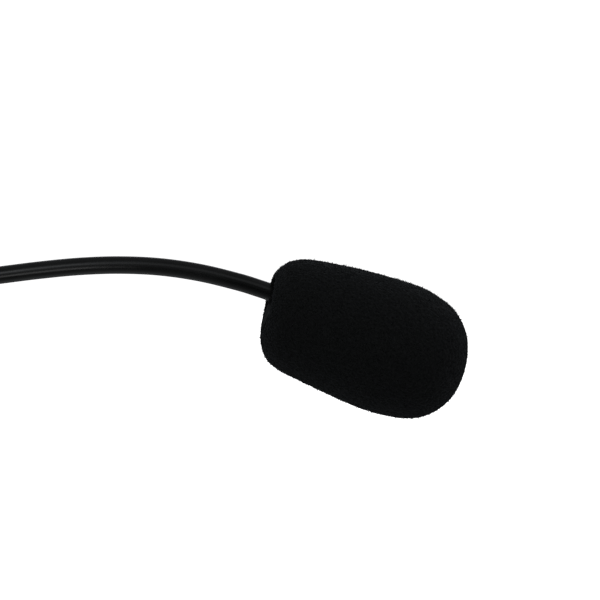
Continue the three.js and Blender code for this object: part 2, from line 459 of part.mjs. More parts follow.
// --------------------------------------------------------------------- frame
// origin under the middle of the whole headset, on the surface it stands on
const bounds = new THREE.Box3().setFromObject(group);
const mid = bounds.getCenter(new THREE.Vector3());
group.position.set(-mid.x, -mid.y, -bounds.min.z);
group.updateMatrixWorld(true);

export const layout = {
  shift: group.position.toArray(),
  joints: joints.map((s) => ({ at: boomAt(s).toArray(), tangent: boomTangent(s).toArray() })),
  boom: along(-0.001, BOOM_END, 120).map((p) => p.toArray()),
  boomEnd: BOOM_END, flexStart: FLEX_START, pitchLen,
  P0: P0.toArray(), BASE: BASE.toArray(), A: A.toArray(), B: B.toArray(), E: E.toArray(), U: U.toArray(),
};
export default group;
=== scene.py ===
import json
import math

import bmesh
import bpy
import numpy as np
from mathutils import Matrix, Vector

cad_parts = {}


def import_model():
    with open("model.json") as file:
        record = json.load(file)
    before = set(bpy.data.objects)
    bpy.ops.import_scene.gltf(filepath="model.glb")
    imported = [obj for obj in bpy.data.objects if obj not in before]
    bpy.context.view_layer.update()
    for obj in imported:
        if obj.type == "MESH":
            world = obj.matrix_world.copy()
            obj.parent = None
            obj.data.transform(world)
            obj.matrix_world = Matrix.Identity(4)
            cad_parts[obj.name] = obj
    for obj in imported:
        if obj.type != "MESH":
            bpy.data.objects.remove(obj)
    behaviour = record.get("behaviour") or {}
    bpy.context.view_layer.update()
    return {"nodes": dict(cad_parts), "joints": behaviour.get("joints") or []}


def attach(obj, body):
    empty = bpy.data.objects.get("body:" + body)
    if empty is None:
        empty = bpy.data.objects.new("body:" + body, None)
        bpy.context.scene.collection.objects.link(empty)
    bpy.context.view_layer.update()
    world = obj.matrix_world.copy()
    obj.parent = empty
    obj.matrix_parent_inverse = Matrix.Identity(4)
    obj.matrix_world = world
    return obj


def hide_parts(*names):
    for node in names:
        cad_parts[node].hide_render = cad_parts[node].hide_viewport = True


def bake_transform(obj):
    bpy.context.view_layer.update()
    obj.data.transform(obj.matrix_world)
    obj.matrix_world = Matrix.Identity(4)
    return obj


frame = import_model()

# ------------------------------------------------------------------ the frame
MM = 0.001
JOINT = {j["name"]: j for j in frame["joints"]}
PIVOT_MM = np.array([0.0, -86.0, 24.0])
SHIFT = np.array(JOINT["boom_swivel"]["pos_m"]) / MM - PIVOT_MM
rng = np.random.RandomState(7)


def W(p):
    """Design millimetres to row-frame metres."""
    return (np.asarray(p, float) + SHIFT) * MM


def unit(v):
    v = np.asarray(v, float)
    return v / np.linalg.norm(v)


X, Y, Z = np.eye(3)

# ------------------------------------------------- dimensions, as in the model
GAP = 0.3
TUBE_FRONT, TUBE_REAR = 30.0, -16.0
SEGMENTS = 7
VIEW = math.radians(10)
BOOM_YAW = math.radians(16)
BOOM_REACH = 119.0
ARCH = [(-119, -6.03), (-100, -3.6), (-80, -1.04), (-60, 1.52), (-47.7, 3.09), (-40.7, 3.96), (-33.7, 4.62),
        (-26.7, 4.86), (-19.6, 4.54), (-12.6, 3.52), (-5.6, 1.82), (-2.1, 0.72), (0, 0)]
PITCH = math.radians(19.4)
DROP, SET = 2.11, 1.16
EAR_IN, EAR_SPLIT, EAR_OUT, EAR_MID = 70.0, 72.05, 79.0, 74.5
EAR_W, EAR_H, EAR_CORNER = 14.0, 36.0, 4.0
STRIP_Z, NAPE_Z = 16.0, 9.0
SNOUT_REAR = -25.0
BAND_R, BAND_X, BAND_CORNER_X = 52.0, -92.0, -40.0
CORNER_Y = EAR_MID - BAND_R
PAD_HALF, FLEX_Y = 24.0, 24.7
HOOK = [(0, 38.6), (0, 46), (-1.8, 56), (-7.2, 66.6), (-17, 74.2), (-28.5, 76.4), (-39, 71.4), (-45.2, 60.5), (-46.8, 48.5), (-45.2, 38.5), (-42.4, 30.5)]

TILT = math.atan(0.128 * math.cos(VIEW))
E = np.array([math.cos(TILT), 0, math.sin(TILT)])
U = np.array([-math.sin(TILT), 0, math.cos(TILT)])
OUT = np.array([0.0, -1.0, 0.0])


def on_boom(t):
    return PIVOT_MM + E * t


# ----------------------------------------------------------------- boom route
def arch(u):
    i = 0
    while i < len(ARCH) - 2 and u > ARCH[i + 1][0]:
        i += 1

    def slope(k):
        if k <= 0:
            return 0.128
        if k >= len(ARCH) - 1:
            return -math.tan(PITCH) / math.cos(BOOM_YAW - VIEW)
        a, b = ARCH[k - 1], ARCH[k + 1]
        return (b[1] - a[1]) / (b[0] - a[0])

    (x0, y0), (x1, y1) = ARCH[i], ARCH[i + 1]
    h = x1 - x0
    t = (u - x0) / h
    m0, m1 = slope(i) * h, slope(i + 1) * h
    return (2 * t**3 - 3 * t**2 + 1) * y0 + (t**3 - 2 * t**2 + t) * m0 + (-2 * t**3 + 3 * t**2) * y1 + (t**3 - t**2) * m1


STEP = 0.25


def plan_route(length):
    pts, x, y = [], 0.0, 0.0
    straight = TUBE_FRONT * math.cos(TILT)
    for i in range(int(length / STEP + 1e-6) + 1):
        l = i * STEP
        pts.append((x, y, x * math.cos(VIEW) + y * math.sin(VIEW)))
        head = BOOM_YAW * min(max((l + STEP / 2 - straight) / (length - straight), 0), 1)
        x += STEP * math.cos(head)
        y += STEP * math.sin(head)
    return pts


plan_length = 110.0
while plan_route(plan_length)[-1][2] < BOOM_REACH:
    plan_length += STEP
plan = plan_route(plan_length)
u_end = plan[-1][2]
boom_pts = np.array([[PIVOT_MM[0] + x, PIVOT_MM[1] + y, PIVOT_MM[2] + arch(u - u_end) - arch(-u_end)] for x, y, u in plan])
# the route was measured in short steps
boom_len = np.concatenate([[0], np.cumsum(np.linalg.norm(np.diff(boom_pts, axis=0), axis=1))])
BOOM_END = float(boom_len[-1])


def boom_at(s):
    if s <= 0:
        return on_boom(s)
    return np.array([np.interp(s, boom_len, boom_pts[:, k]) for k in range(3)])


def boom_dir(s):
    a, b = min(s + 1.6, BOOM_END), min(s, BOOM_END) - 1.6
    return unit(boom_at(a) - boom_at(b))


FLEX_START = TUBE_FRONT + 4 + GAP
PITCH_LEN = (BOOM_END - FLEX_START) / SEGMENTS
A = np.array([math.cos(PITCH) * math.cos(BOOM_YAW), math.cos(PITCH) * math.sin(BOOM_YAW), -math.sin(PITCH)])
B = np.array([math.sin(PITCH) * math.cos(BOOM_YAW), math.sin(PITCH) * math.sin(BOOM_YAW), math.cos(PITCH)])
C = np.cross(A, B)
P0 = boom_at(BOOM_END)
BASE = P0 - A * SET - B * DROP

# ---------------------------------------------------------------------- light
# azimuth, elevation, half-width, half-height, softness, strength, lean
PANELS = [(17, 34, 35, 14, 0.45, 0.27), (-10, 23, 15, 9, 0.5, 1.35), (-5, 2, 18, 11, 0.5, 0.22), (185, -55, 60, 28, 0.6, 0.20), (190, 32, 50, 14, 0.6, 0.45), (100, 38, 20, 20, 0.6, 0.5)]
ROOM = [(-1.0, 0.24), (-0.85, 0.12), (-0.5, 0.035), (0.0, 0.05), (0.3, 0.09), (0.85, 0.13), (1.0, 0.19)]

# --------------------------------------------------------------------- camera
CAM_AZ, CAM_EL = math.radians(10), 0.0
CAM_DIST = 950.0
PX_PER_MM = 5.7
look = np.array([-math.sin(CAM_AZ), math.cos(CAM_AZ), 0.0])
right = np.array([math.cos(CAM_AZ), math.sin(CAM_AZ), 0.0])
target = P0 + right * (28.0 / PX_PER_MM) - Z * (7.2 / PX_PER_MM)
cam_data = bpy.data.cameras.new("photo_camera")
cam = bpy.data.objects.new("photo_camera", cam_data)
bpy.context.scene.collection.objects.link(cam)
cam.location = Vector(W(target - look * CAM_DIST))
cam.rotation_euler = (math.radians(90), 0, CAM_AZ)
cam_data.sensor_width = 36.0
cam_data.lens = 36.0 * CAM_DIST / (600.0 / PX_PER_MM)
cam_data.clip_start = 0.01
cam_data.clip_end = 50.0
bpy.context.scene.camera = cam


# ------------------------------------------------------------------ materials
def new_material(name, color, rough, metal=0.0, spec=0.5):
    m = bpy.data.materials.new(name)
    m.use_nodes = True
    nt = m.node_tree
    b = nt.nodes["Principled BSDF"]
    b.inputs["Base Color"].default_value = (*color, 1)
    b.inputs["Roughness"].default_value = rough
    b.inputs["Metallic"].default_value = metal
    b.inputs["Specular IOR Level"].default_value = spec
    m.diffuse_color = (*color, 1)
    co = nt.nodes.new("ShaderNodeTexCoord")
    return m, nt, b, co.outputs["Object"]


def noise_node(nt, co, scale, detail=3.0, rough=0.55):
    n = nt.nodes.new("ShaderNodeTexNoise")
    n.inputs["Scale"].default_value = scale
    n.inputs["Detail"].default_value = detail
    n.inputs["Roughness"].default_value = rough
    nt.links.new(co, n.inputs["Vector"])
    return n.outputs["Fac"]


def voronoi_node(nt, co, scale, feature="F1"):
    n = nt.nodes.new("ShaderNodeTexVoronoi")
    n.feature = feature
    n.inputs["Scale"].default_value = scale
    nt.links.new(co, n.inputs["Vector"])
    return n.outputs["Distance"]


def remap(nt, value, lo, hi, a, b):
    n = nt.nodes.new("ShaderNodeMapRange")
    n.inputs["From Min"].default_value = lo
    n.inputs["From Max"].default_value = hi
    n.inputs["To Min"].default_value = a
    n.inputs["To Max"].default_value = b
    nt.links.new(value, n.inputs["Value"])
    return n.outputs["Result"]


def math_node(nt, op, a, b):
    n = nt.nodes.new("ShaderNodeMath")
    n.operation = op
    for k, v in enumerate((a, b)):
        if isinstance(v, (int, float)):
            n.inputs[k].default_value = v
        else:
            nt.links.new(v, n.inputs[k])
    if op == "MULTIPLY_ADD":
        n.inputs[2].default_value = 0.5
    return n.outputs[0]


def ramp_color(nt, value, stops):
    n = nt.nodes.new("ShaderNodeValToRGB")
    e = n.color_ramp.elements
    e[0].position, e[0].color = stops[0][0], (*stops[0][1], 1)
    e[1].position, e[1].color = stops[-1][0], (*stops[-1][1], 1)
    for p, c in stops[1:-1]:
        x = e.new(p)
        x.color = (*c, 1)
    nt.links.new(value, n.inputs["Fac"])
    return n.outputs["Color"]


def bump(nt, b, height, strength, distance, before=None):
    n = nt.nodes.new("ShaderNodeBump")
    n.inputs["Strength"].default_value = strength
    n.inputs["Distance"].default_value = distance
    nt.links.new(height, n.inputs["Height"])
    if before is not None:
        nt.links.new(before, n.inputs["Normal"])
    nt.links.new(n.outputs["Normal"], b.inputs["Normal"])
    return n.outputs["Normal"]


def stretch(nt, co, sx, sy, sz):
    n = nt.nodes.new("ShaderNodeMapping")
    n.inputs["Scale"].default_value = (sx, sy, sz)
    nt.links.new(co, n.inputs["Vector"])
    return n.outputs["Vector"]


def edge_wear(nt, co):
    """Rubbed convex edges, broken up by noise."""
    g = nt.nodes.new("ShaderNodeNewGeometry")
    p = remap(nt, g.outputs["Pointiness"], 0.52, 0.60, 0.0, 1.0)
    n = remap(nt, noise_node(nt, co, 900, 4), 0.42, 0.62, 0.0, 1.0)
    return math_node(nt, "MULTIPLY", p, n)


def moulded(name, color, rough, grain=5200.0, grain_depth=0.000018, spec=0.45):
    """Fine-textured moulded plastic: spark-eroded grain, slight roughness blotches and rubbed edges."""
    m, nt, b, co = new_material(name, color, rough, 0.0, spec)
    fine = noise_node(nt, co, grain, 2, 0.6)
    pits = remap(nt, voronoi_node(nt, co, grain * 0.55), 0.05, 0.5, 0.0, 1.0)
    height = math_node(nt, "ADD", fine, pits)
    bump(nt, b, height, 0.35, grain_depth)
    blotch = noise_node(nt, co, 130, 4)
    r = remap(nt, blotch, 0.3, 0.7, rough - 0.06, rough + 0.07)
    wear = edge_wear(nt, co)
    r = math_node(nt, "SUBTRACT", r, math_node(nt, "MULTIPLY", wear, 0.12))
    nt.links.new(r, b.inputs["Roughness"])
    mix = nt.nodes.new("ShaderNodeMix")
    mix.data_type = "RGBA"
    tone = ramp_color(nt, blotch, [(0.3, tuple(c * 0.85 for c in color)), (0.7, tuple(min(c * 1.2, 1) for c in color))])
    nt.links.new(wear, mix.inputs["Factor"])
    nt.links.new(tone, mix.inputs["A"])
    mix.inputs["B"].default_value = (*[min(c * 1.6 + 0.004, 1) for c in color], 1)
    nt.links.new(mix.outputs["Result"], b.inputs["Base Color"])
    return m


def elastomer(name, color, rough, sheen=0.12, grain=2600.0):
    """Rubber or silicone: soft matte skin with faint dust and a slightly uneven surface."""
    m, nt, b, co = new_material(name, color, rough, 0.0, 0.4)
    b.inputs["Sheen Weight"].default_value = sheen
    b.inputs["Sheen Roughness"].default_value = 0.4
    b.inputs["Sheen Tint"].default_value = (0.75, 0.78, 0.85, 1)
    bump(nt, b, math_node(nt, "ADD", noise_node(nt, co, grain, 3), math_node(nt, "MULTIPLY", noise_node(nt, co, 300, 2), 1.5)), 0.3, 0.000022)
    dust = remap(nt, noise_node(nt, co, 420, 5, 0.7), 0.5, 0.75, 0.0, 1.0)
    nt.links.new(remap(nt, dust, 0.0, 1.0, rough - 0.04, rough + 0.1), b.inputs["Roughness"])
    nt.links.new(ramp_color(nt, dust, [(0.0, color), (1.0, tuple(min(c * 1.7 + 0.004, 1) for c in color))]), b.inputs["Base Color"])
    return m


def metal(name, color, rough, axis_scale=(1, 1, 30), depth=0.000004, metallic=1.0, spec=0.5, lines=900.0):
    """Drawn or turned metal: fine lines along one way, with roughness that varies along them."""
    m, nt, b, co = new_material(name, color, rough, metallic, spec)
    line = noise_node(nt, stretch(nt, co, *axis_scale), lines, 3, 0.6)
    spots = noise_node(nt, co, 260, 4)
    nt.links.new(remap(nt, math_node(nt, "ADD", line, spots), 0.7, 1.3, max(rough - 0.08, 0.03), rough + 0.12), b.inputs["Roughness"])
    nt.links.new(ramp_color(nt, spots, [(0.3, tuple(c * 0.8 for c in color)), (0.7, tuple(min(c * 1.12, 1) for c in color))]), b.inputs["Base Color"])
    bump(nt, b, line, 0.25, depth)
    return m


def foam_material():
    """Black reticulated foam: cell walls a little lighter than the pits, whose darker colour is painted shade in the
    cell hollows, and a weak bloom on the struts.
    """
    m, nt, b, co = new_material("foam_black", (0.0035, 0.0038, 0.0045), 0.95, 0.0, 0.12)
    b.inputs["Sheen Weight"].default_value = 0.035
    b.inputs["Sheen Roughness"].default_value = 0.5
    b.inputs["Sheen Tint"].default_value = (0.80, 0.88, 1.0, 1)
    cell = voronoi_node(nt, co, 2500.0)
    # mask low in the cell pits and high on the walls: it drives the bump, and through the colour ramp it paints shade
    # into the pits
    strut_height_and_pit_shade = remap(nt, cell, 0.1, 0.75, 0.0, 1.0)
    mottled = noise_node(nt, co, 330, 4)
    tone = math_node(nt, "ADD", math_node(nt, "MULTIPLY", strut_height_and_pit_shade, 0.55), math_node(nt, "MULTIPLY", mottled, 0.45))
    # base colour: painted shade in the cell pits mixed with random mottled tone
    nt.links.new(ramp_color(nt, tone, [(0.2, (0.0029, 0.0032, 0.0032)), (0.6, (0.0039, 0.0043, 0.0043)), (0.95, (0.0058, 0.0063, 0.0064))]), b.inputs["Base Color"])
    nt.links.new(remap(nt, mottled, 0.3, 0.7, 0.88, 1.0), b.inputs["Roughness"])
    fine = math_node(nt, "ADD", strut_height_and_pit_shade, math_node(nt, "MULTIPLY", noise_node(nt, co, 7000, 3), 0.6))
    bump(nt, b, fine, 0.7, 0.00012)
    return m


def sleeve_material():
    """Satin black jacket: tiny orange peel and a few dull, handled patches."""
    m, nt, b, co = new_material("boom_jacket", (0.0058, 0.0062, 0.0066), 0.3, 0.0, 0.42)
    peel = noise_node(nt, co, 1500, 3)
    fine = noise_node(nt, co, 6500, 2)
    bump(nt, b, math_node(nt, "ADD", peel, math_node(nt, "MULTIPLY", fine, 0.35)), 0.35, 0.000010)
    dull = remap(nt, noise_node(nt, co, 120, 5, 0.6), 0.35, 0.7, 0.0, 1.0)
    nt.links.new(remap(nt, math_node(nt, "ADD", dull, math_node(nt, "MULTIPLY", peel, 0.25)), 0.0, 1.25, 0.19, 0.30), b.inputs["Roughness"])
    nt.links.new(ramp_color(nt, dull, [(0.0, (0.0026, 0.0028, 0.0028)), (1.0, (0.0044, 0.0047, 0.0047))]), b.inputs["Base Color"])
    return m


def felt_material():
    m, nt, b, co = new_material("felt_grey", (0.03, 0.03, 0.032), 0.95, 0.0, 0.2)
    f = noise_node(nt, co, 5200, 5, 0.7)
    nt.links.new(ramp_color(nt, f, [(0.3, (0.02, 0.02, 0.021)), (0.7, (0.05, 0.05, 0.053))]), b.inputs["Base Color"])
    b.inputs["Sheen Weight"].default_value = 0.2
    bump(nt, b, f, 0.6, 0.00005)
    return m


def board_material():
    m, nt, b, co = new_material("circuit_board", (0.012, 0.07, 0.03), 0.4, 0.0, 0.5)
    w = remap(nt, voronoi_node(nt, stretch(nt, co, 1, 1, 1), 1400, "F1"), 0.2, 0.26, 0.0, 1.0)
    nt.links.new(ramp_color(nt, w, [(0.0, (0.02, 0.10, 0.045)), (1.0, (0.008, 0.05, 0.02))]), b.inputs["Base Color"])
    bump(nt, b, w, 0.3, 0.00002)
    return m


MAT = {
    "foam": foam_material(),
    "jacket": sleeve_material(),
    "abs": moulded("housing_plastic", (0.042, 0.043, 0.046), 0.44),
    "abs_fine": moulded("clamp_plastic", (0.034, 0.035, 0.037), 0.38, 7000.0, 0.000010),
    "silicone": elastomer("silicone_black", (0.032, 0.033, 0.036), 0.52),
    "rubber": elastomer("rubber_black", (0.026, 0.0265, 0.028), 0.6, 0.08, 3600.0),
    "steel": metal("spring_steel", (0.60, 0.61, 0.63), 0.30, (3, 1, 1)),
    "screw": metal("screw_steel", (0.50, 0.51, 0.53), 0.26, (1, 1, 1), 0.000003, lines=2400.0),
    "dark": metal("black_anodised", (0.030, 0.031, 0.033), 0.34, (0.15, 1, 1), 0.000004, 0.75, 0.5, 2600.0),
    "brass": metal("brass_turned", (0.72, 0.55, 0.26), 0.28, (1, 1, 1), 0.000003, lines=2000.0),
    # black cap plastic darkened well below the other plastics: painted shade for the cap inside the foam's mouth
    "cap": moulded("capsule_cap_plastic_painted_shade", (0.0058, 0.0060, 0.0063), 0.80, 6000.0, 0.000014, 0.07),
    "felt": felt_material(),
    "board": board_material(),
    "lead": elastomer("lead_jacket", (0.02, 0.02, 0.021), 0.5, 0.05),
}


def give(o, key):
    o.data.materials.clear()
    o.data.materials.append(MAT[key])


# --------------------------------------------------------------- mesh helpers
def build(name, verts, faces, mat, body=None, replaces=(), angle=32, world=False):
    """One named object from points in design millimetres."""
    me = bpy.data.meshes.new(name)
    v = np.asarray(verts, float)
    if not world:
        v = (v + SHIFT) * MM
    me.from_pydata([tuple(p) for p in v], [], [tuple(int(i) for i in f) for f in faces])
    bm = bmesh.new()
    bm.from_mesh(me)
    bmesh.ops.remove_doubles(bm, verts=bm.verts, dist=1e-7)
    bmesh.ops.dissolve_degenerate(bm, dist=1e-7, edges=bm.edges)
    bmesh.ops.recalc_face_normals(bm, faces=bm.faces)
    bm.to_mesh(me)
    bm.free()
    me.shade_smooth()
    if angle:
        me.set_sharp_from_angle(angle=math.radians(angle))
    o = bpy.data.objects.new(name, me)
    bpy.context.scene.collection.objects.link(o)
    give(o, mat)
    if body:
        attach(o, body)
    if replaces:
        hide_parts(*replaces)
    return o


class Shape:
    """Collects closed pieces, each a stack of rings, into one mesh."""

    def __init__(self):
        self.v, self.f = [], []

    def add(self, verts, faces):
        n = len(self.v)
        self.v.extend([tuple(p) for p in verts])
        self.f.extend([tuple(i + n for i in f) for f in faces])

    def rings(self, rings, closed=False):
        """Rings of equal count joined in order; the ends are filled, or joined to each other when closed."""
        rings = [np.asarray(r, float) for r in rings]
        n = len(rings[0])
        verts = np.concatenate(rings)
        faces = []
        m = len(rings)
        for i in range(m if closed else m - 1):
            a, b = i * n, ((i + 1) % m) * n
            for k in range(n):
                l = (k + 1) % n
                faces.append((a + k, a + l, b + l, b + k))
        if not closed:
            faces.append(tuple(range(n))[::-1])
            faces.append(tuple(range((m - 1) * n, m * n)))
        self.add(verts, faces)

    def object(self, name, mat, body, replaces=(), angle=32):
        return build(name, self.v, self.f, mat, body, replaces, angle)


def rounded(profile, r, n=4, closed=False):
    """A polyline with its corners turned into arcs. r is one radius or one for each point."""
    pts = [np.asarray(p, float) for p in profile]
    rs = [r] * len(pts) if np.isscalar(r) else list(r)
    out = []
    m = len(pts)
    for i, p in enumerate(pts):
        if not closed and (i == 0 or i == m - 1) or rs[i] <= 0:
            out.append(p)
            continue
        a, b = pts[(i - 1) % m] - p, pts[(i + 1) % m] - p
        la, lb = np.linalg.norm(a), np.linalg.norm(b)
        if la < 1e-9 or lb < 1e-9:
            out.append(p)
            continue
        a, b = a / la, b / lb
        cosang = float(np.clip(a @ b, -1, 1))
        ang = math.acos(cosang)
        if ang > math.radians(176):
            out.append(p)
            continue
        t = min(rs[i] / math.tan(ang / 2), 0.46 * la, 0.46 * lb)
        p0, p1 = p + a * t, p + b * t
        for k in range(n + 1):
            q = k / n
            out.append((1 - q) ** 2 * p0 + 2 * q * (1 - q) * p + q**2 * p1)
    return [tuple(p) for p in out]


def frame_for(axis, side=None):
    y = unit(axis)
    z = np.asarray(side, float) if side is not None else (Z if abs(y[2]) < 0.9 else X)
    z = unit(z - y * (z @ y))
    x = np.cross(y, z)
    return x, y, z


def lathe(shape, profile, origin, axis, segs=48, side=None, scallop=None):
    """Profile of (station, radius). An end on the axis closes there; a profile off the axis at both ends joins up."""
    x, y, z = frame_for(axis, side)
    origin = np.asarray(origin, float)
    ang = np.linspace(0, 2 * math.pi, segs, endpoint=False)
    rings = []
    for s, r in profile:
        rr = np.full(segs, max(r, 1e-4))
        if scallop is not None:
            rr = scallop(s, r, ang)
        rings.append(origin + y * s + np.outer(rr * np.cos(ang), x) + np.outer(rr * np.sin(ang), z))
    closed = profile[0][1] > 1e-3 and profile[-1][1] > 1e-3
    if closed and abs(profile[0][0] - profile[-1][0]) + abs(profile[0][1] - profile[-1][1]) < 1e-6:
        rings = rings[:-1]
    shape.rings(rings, closed=closed)


def rect_ring(w, h, r, inset=0.0, per=6):
    """Rounded rectangle outline, moved inwards by inset, as points (x, y)."""
    w2, h2, rr = w / 2 - inset, h / 2 - inset, max(r - inset, 0.02)
    pts = []
    for cx, cy, q in [(w2 - rr, h2 - rr, 0), (-(w2 - rr), h2 - rr, 1), (-(w2 - rr), -(h2 - rr), 2), (w2 - rr, -(h2 - rr), 3)]:
        for i in range(per + 1):
            a = (q + i / per) * math.pi / 2
            pts.append((cx + rr * math.cos(a), cy + rr * math.sin(a)))
    return np.array(pts)


def slab(shape, w, h, r, origin, ex, ey, ez, profile, per=6, closed=False):
    """Rounded-rectangle block: profile of (inset, height along ez)."""
    origin, ex, ey, ez = (np.asarray(v, float) for v in (origin, ex, ey, ez))
    rings = []
    for inset, height in profile:
        p = rect_ring(w, h, r, inset, per)
        rings.append(origin + np.outer(p[:, 0], ex) + np.outer(p[:, 1], ey) + ez * height)
    shape.rings(rings, closed=closed)


def fillet(r, z0, z1, n=5, both=True):
    """Insets and heights of a block with rounded edges from z0 to z1."""
    up = [(r * (1 - math.sin(a)), z1 - r * (1 - math.cos(a))) for a in np.linspace(math.pi / 2, 0, n + 1)]
    if not both:
        return [(0, z0)] + up
    down = [(r * (1 - math.sin(a)), z0 + r * (1 - math.cos(a))) for a in np.linspace(0, math.pi / 2, n + 1)]
    return down + up


def catmull(points, n):
    """Centripetal Catmull-Rom through the points, n per span."""
    p = [np.asarray(q, float) for q in points]
    p = [2 * p[0] - p[1]] + p + [2 * p[-1] - p[-2]]
    out = []
    for i in range(1, len(p) - 2):
        t = [0.0]
        for k in range(3):
            t.append(t[-1] + max(np.linalg.norm(p[i + k] - p[i + k - 1]), 1e-6) ** 0.5)
        for q in range(n):
            u = t[1] + (t[2] - t[1]) * q / n
            a1 = (t[1] - u) / (t[1] - t[0]) * p[i - 1] + (u - t[0]) / (t[1] - t[0]) * p[i]
            a2 = (t[2] - u) / (t[2] - t[1]) * p[i] + (u - t[1]) / (t[2] - t[1]) * p[i + 1]
            a3 = (t[3] - u) / (t[3] - t[2]) * p[i + 1] + (u - t[2]) / (t[3] - t[2]) * p[i + 2]
            b1 = (t[2] - u) / (t[2] - t[0]) * a1 + (u - t[0]) / (t[2] - t[0]) * a2
            b2 = (t[3] - u) / (t[3] - t[1]) * a2 + (u - t[1]) / (t[3] - t[1]) * a3
            out.append((t[2] - u) / (t[2] - t[1]) * b1 + (u - t[1]) / (t[2] - t[1]) * b2)
    out.append(p[-2])
    return np.array(out)


def tangents(path):
    d = np.gradient(path, axis=0)
    return d / np.linalg.norm(d, axis=1)[:, None]


def sweep(shape, path, section, up, tans=None, scale=None, closed_inner=None):
    """section(i) or one section of points (across, up) swept along path; up fixes the frame."""
    path = np.asarray(path, float)
    tans = tangents(path) if tans is None else tans
    rings = []
    for i, (p, t) in enumerate(zip(path, tans)):
        side = unit(np.cross(t, up))
        top = np.cross(side, t)
        s = section(i) if callable(section) else section
        k = 1.0 if scale is None else scale[i]
        rings.append(p + np.outer(s[:, 0] * k, side) + np.outer(s[:, 1] * k, top))
    shape.rings(rings, closed=False)
    return rings


def circle(r, n):
    a = np.linspace(0, 2 * math.pi, n, endpoint=False)
    return np.stack([r * np.cos(a), r * np.sin(a)], 1)


def hollow_tube(shape, path, tans, ro, ri, up, n=48):
    """Open tube with a wall, its two ends flat rings."""
    def ring(i, r):
        t = tans[i]
        side = unit(np.cross(t, up))
        top = np.cross(side, t)
        c = circle(r, n)
        return path[i] + np.outer(c[:, 0], side) + np.outer(c[:, 1], top)
    m = len(path)
    rings = [ring(i, ro) for i in range(m)] + [ring(i, ri) for i in reversed(range(m))]
    shape.rings(rings, closed=True)


def screw_head(shape, origin, axis, head_r, height, shaft_r, length, sink=0.55, hex_r=None, segs=36):
    """Socket screw: a domed head with a six-sided recess, and its shaft."""
    x, y, z = frame_for(axis)
    origin = np.asarray(origin, float)
    hex_r = hex_r or head_r * 0.5
    ang = np.linspace(0, 2 * math.pi, segs, endpoint=False)
    hexr = hex_r / np.cos((ang + math.pi / 6) % (math.pi / 3) - math.pi / 6)

    def ring(s, r):
        r = np.full(segs, r) if np.isscalar(r) else r
        return origin + y * s + np.outer(r * np.cos(ang), x) + np.outer(r * np.sin(ang), z)
    rings = [ring(-length, 0.0005), ring(-length, shaft_r * 0.7), ring(-length + 0.3, shaft_r), ring(-height, shaft_r), ring(-height, head_r * 0.97),
             ring(-height + 0.06, head_r), ring(-0.28, head_r), ring(-0.12, head_r * 0.96), ring(-0.03, head_r * 0.86), ring(0.0, head_r * 0.72),
             ring(0.0, hexr * 1.12), ring(-0.05, hexr), ring(-sink, hexr * 0.985), ring(-sink - 0.12, hexr * 0.5), ring(-sink - 0.16, 0.0005)]
    shape.rings(rings)


def mirrored(p):
    q = np.array(p, float)
    q[..., 1] *= -1
    return q


# ------------------------------------------------------------------ windscreen
# the cut of the foam: (station along the axis, distance from it), above and below, from the mouth's lip to the tip
FOAM_TOP = [(0.80, 4.95), (0.58, 4.99), (0.44, 5.14), (0.42, 5.4), (0.58, 5.95), (0.88, 6.55), (1.38, 7.34), (1.94, 8.02), (2.55, 8.53), (3.2, 8.9), (4, 9.28), (5, 9.62), (6, 9.87), (8, 10.23),
            (10, 10.54), (14, 11.07), (18, 11.43), (22, 11.68), (24, 11.72), (26, 11.66), (28, 11.34), (30, 10.80), (31, 10.48), (32, 9.99), (33, 9.36), (34, 8.55), (35, 7.44), (35.7, 6.45),
            (36.3, 5.20), (36.8, 3.85), (37.15, 2.45), (37.35, 1.0), (37.42, -0.75)]
FOAM_LOW = [(2.05, 4.95), (1.86, 4.99), (1.75, 5.14), (1.74, 5.4), (1.86, 5.9), (2.08, 6.5), (2.48, 7.3), (2.95, 8.02), (3.45, 8.6), (4.05, 9.14), (5, 9.68), (6, 10.03), (7, 10.27), (8, 10.46),
            (10, 10.66), (14, 11.10), (18, 11.49), (22, 11.74), (24, 11.72), (26, 11.60), (28, 11.32), (30, 10.94), (31, 10.62), (32, 10.18), (33, 9.62), (34, 8.84), (35, 7.88), (35.7, 6.95),
            (36.3, 5.95), (36.8, 4.75), (37.15, 3.55), (37.35, 2.2), (37.42, 0.75)]


def resample(points, spacing=None, count=None):
    p = np.asarray(points, float)
    d = np.concatenate([[0], np.cumsum(np.linalg.norm(np.diff(p, axis=0), axis=1))])
    n = count or max(int(round(d[-1] / spacing)), 2)
    t = np.linspace(0, d[-1], n + 1)
    return np.stack([np.interp(t, d, p[:, k]) for k in range(p.shape[1])], 1)


def worley(p, cell, seed):
    """Distance to the nearest and second nearest of jittered points, one to a cell."""
    rs = np.random.RandomState(seed)
    q = p / cell
    lo = np.floor(q.min(0)).astype(int) - 2
    hi = np.floor(q.max(0)).astype(int) + 3
    table = rs.rand(*(hi - lo), 3)
    base = np.floor(q).astype(int)
    f1 = np.full(len(p), 9.0)
    f2 = np.full(len(p), 9.0)
    for dx in (-1, 0, 1):
        for dy in (-1, 0, 1):
            for dz in (-1, 0, 1):
                c = base + (dx, dy, dz)
                i = c - lo
                d = np.linalg.norm(q - c - table[i[:, 0], i[:, 1], i[:, 2]], axis=1)
                f2 = np.minimum(f2, np.maximum(d, f1))
                f1 = np.minimum(f1, d)
    return f1 * cell, f2 * cell


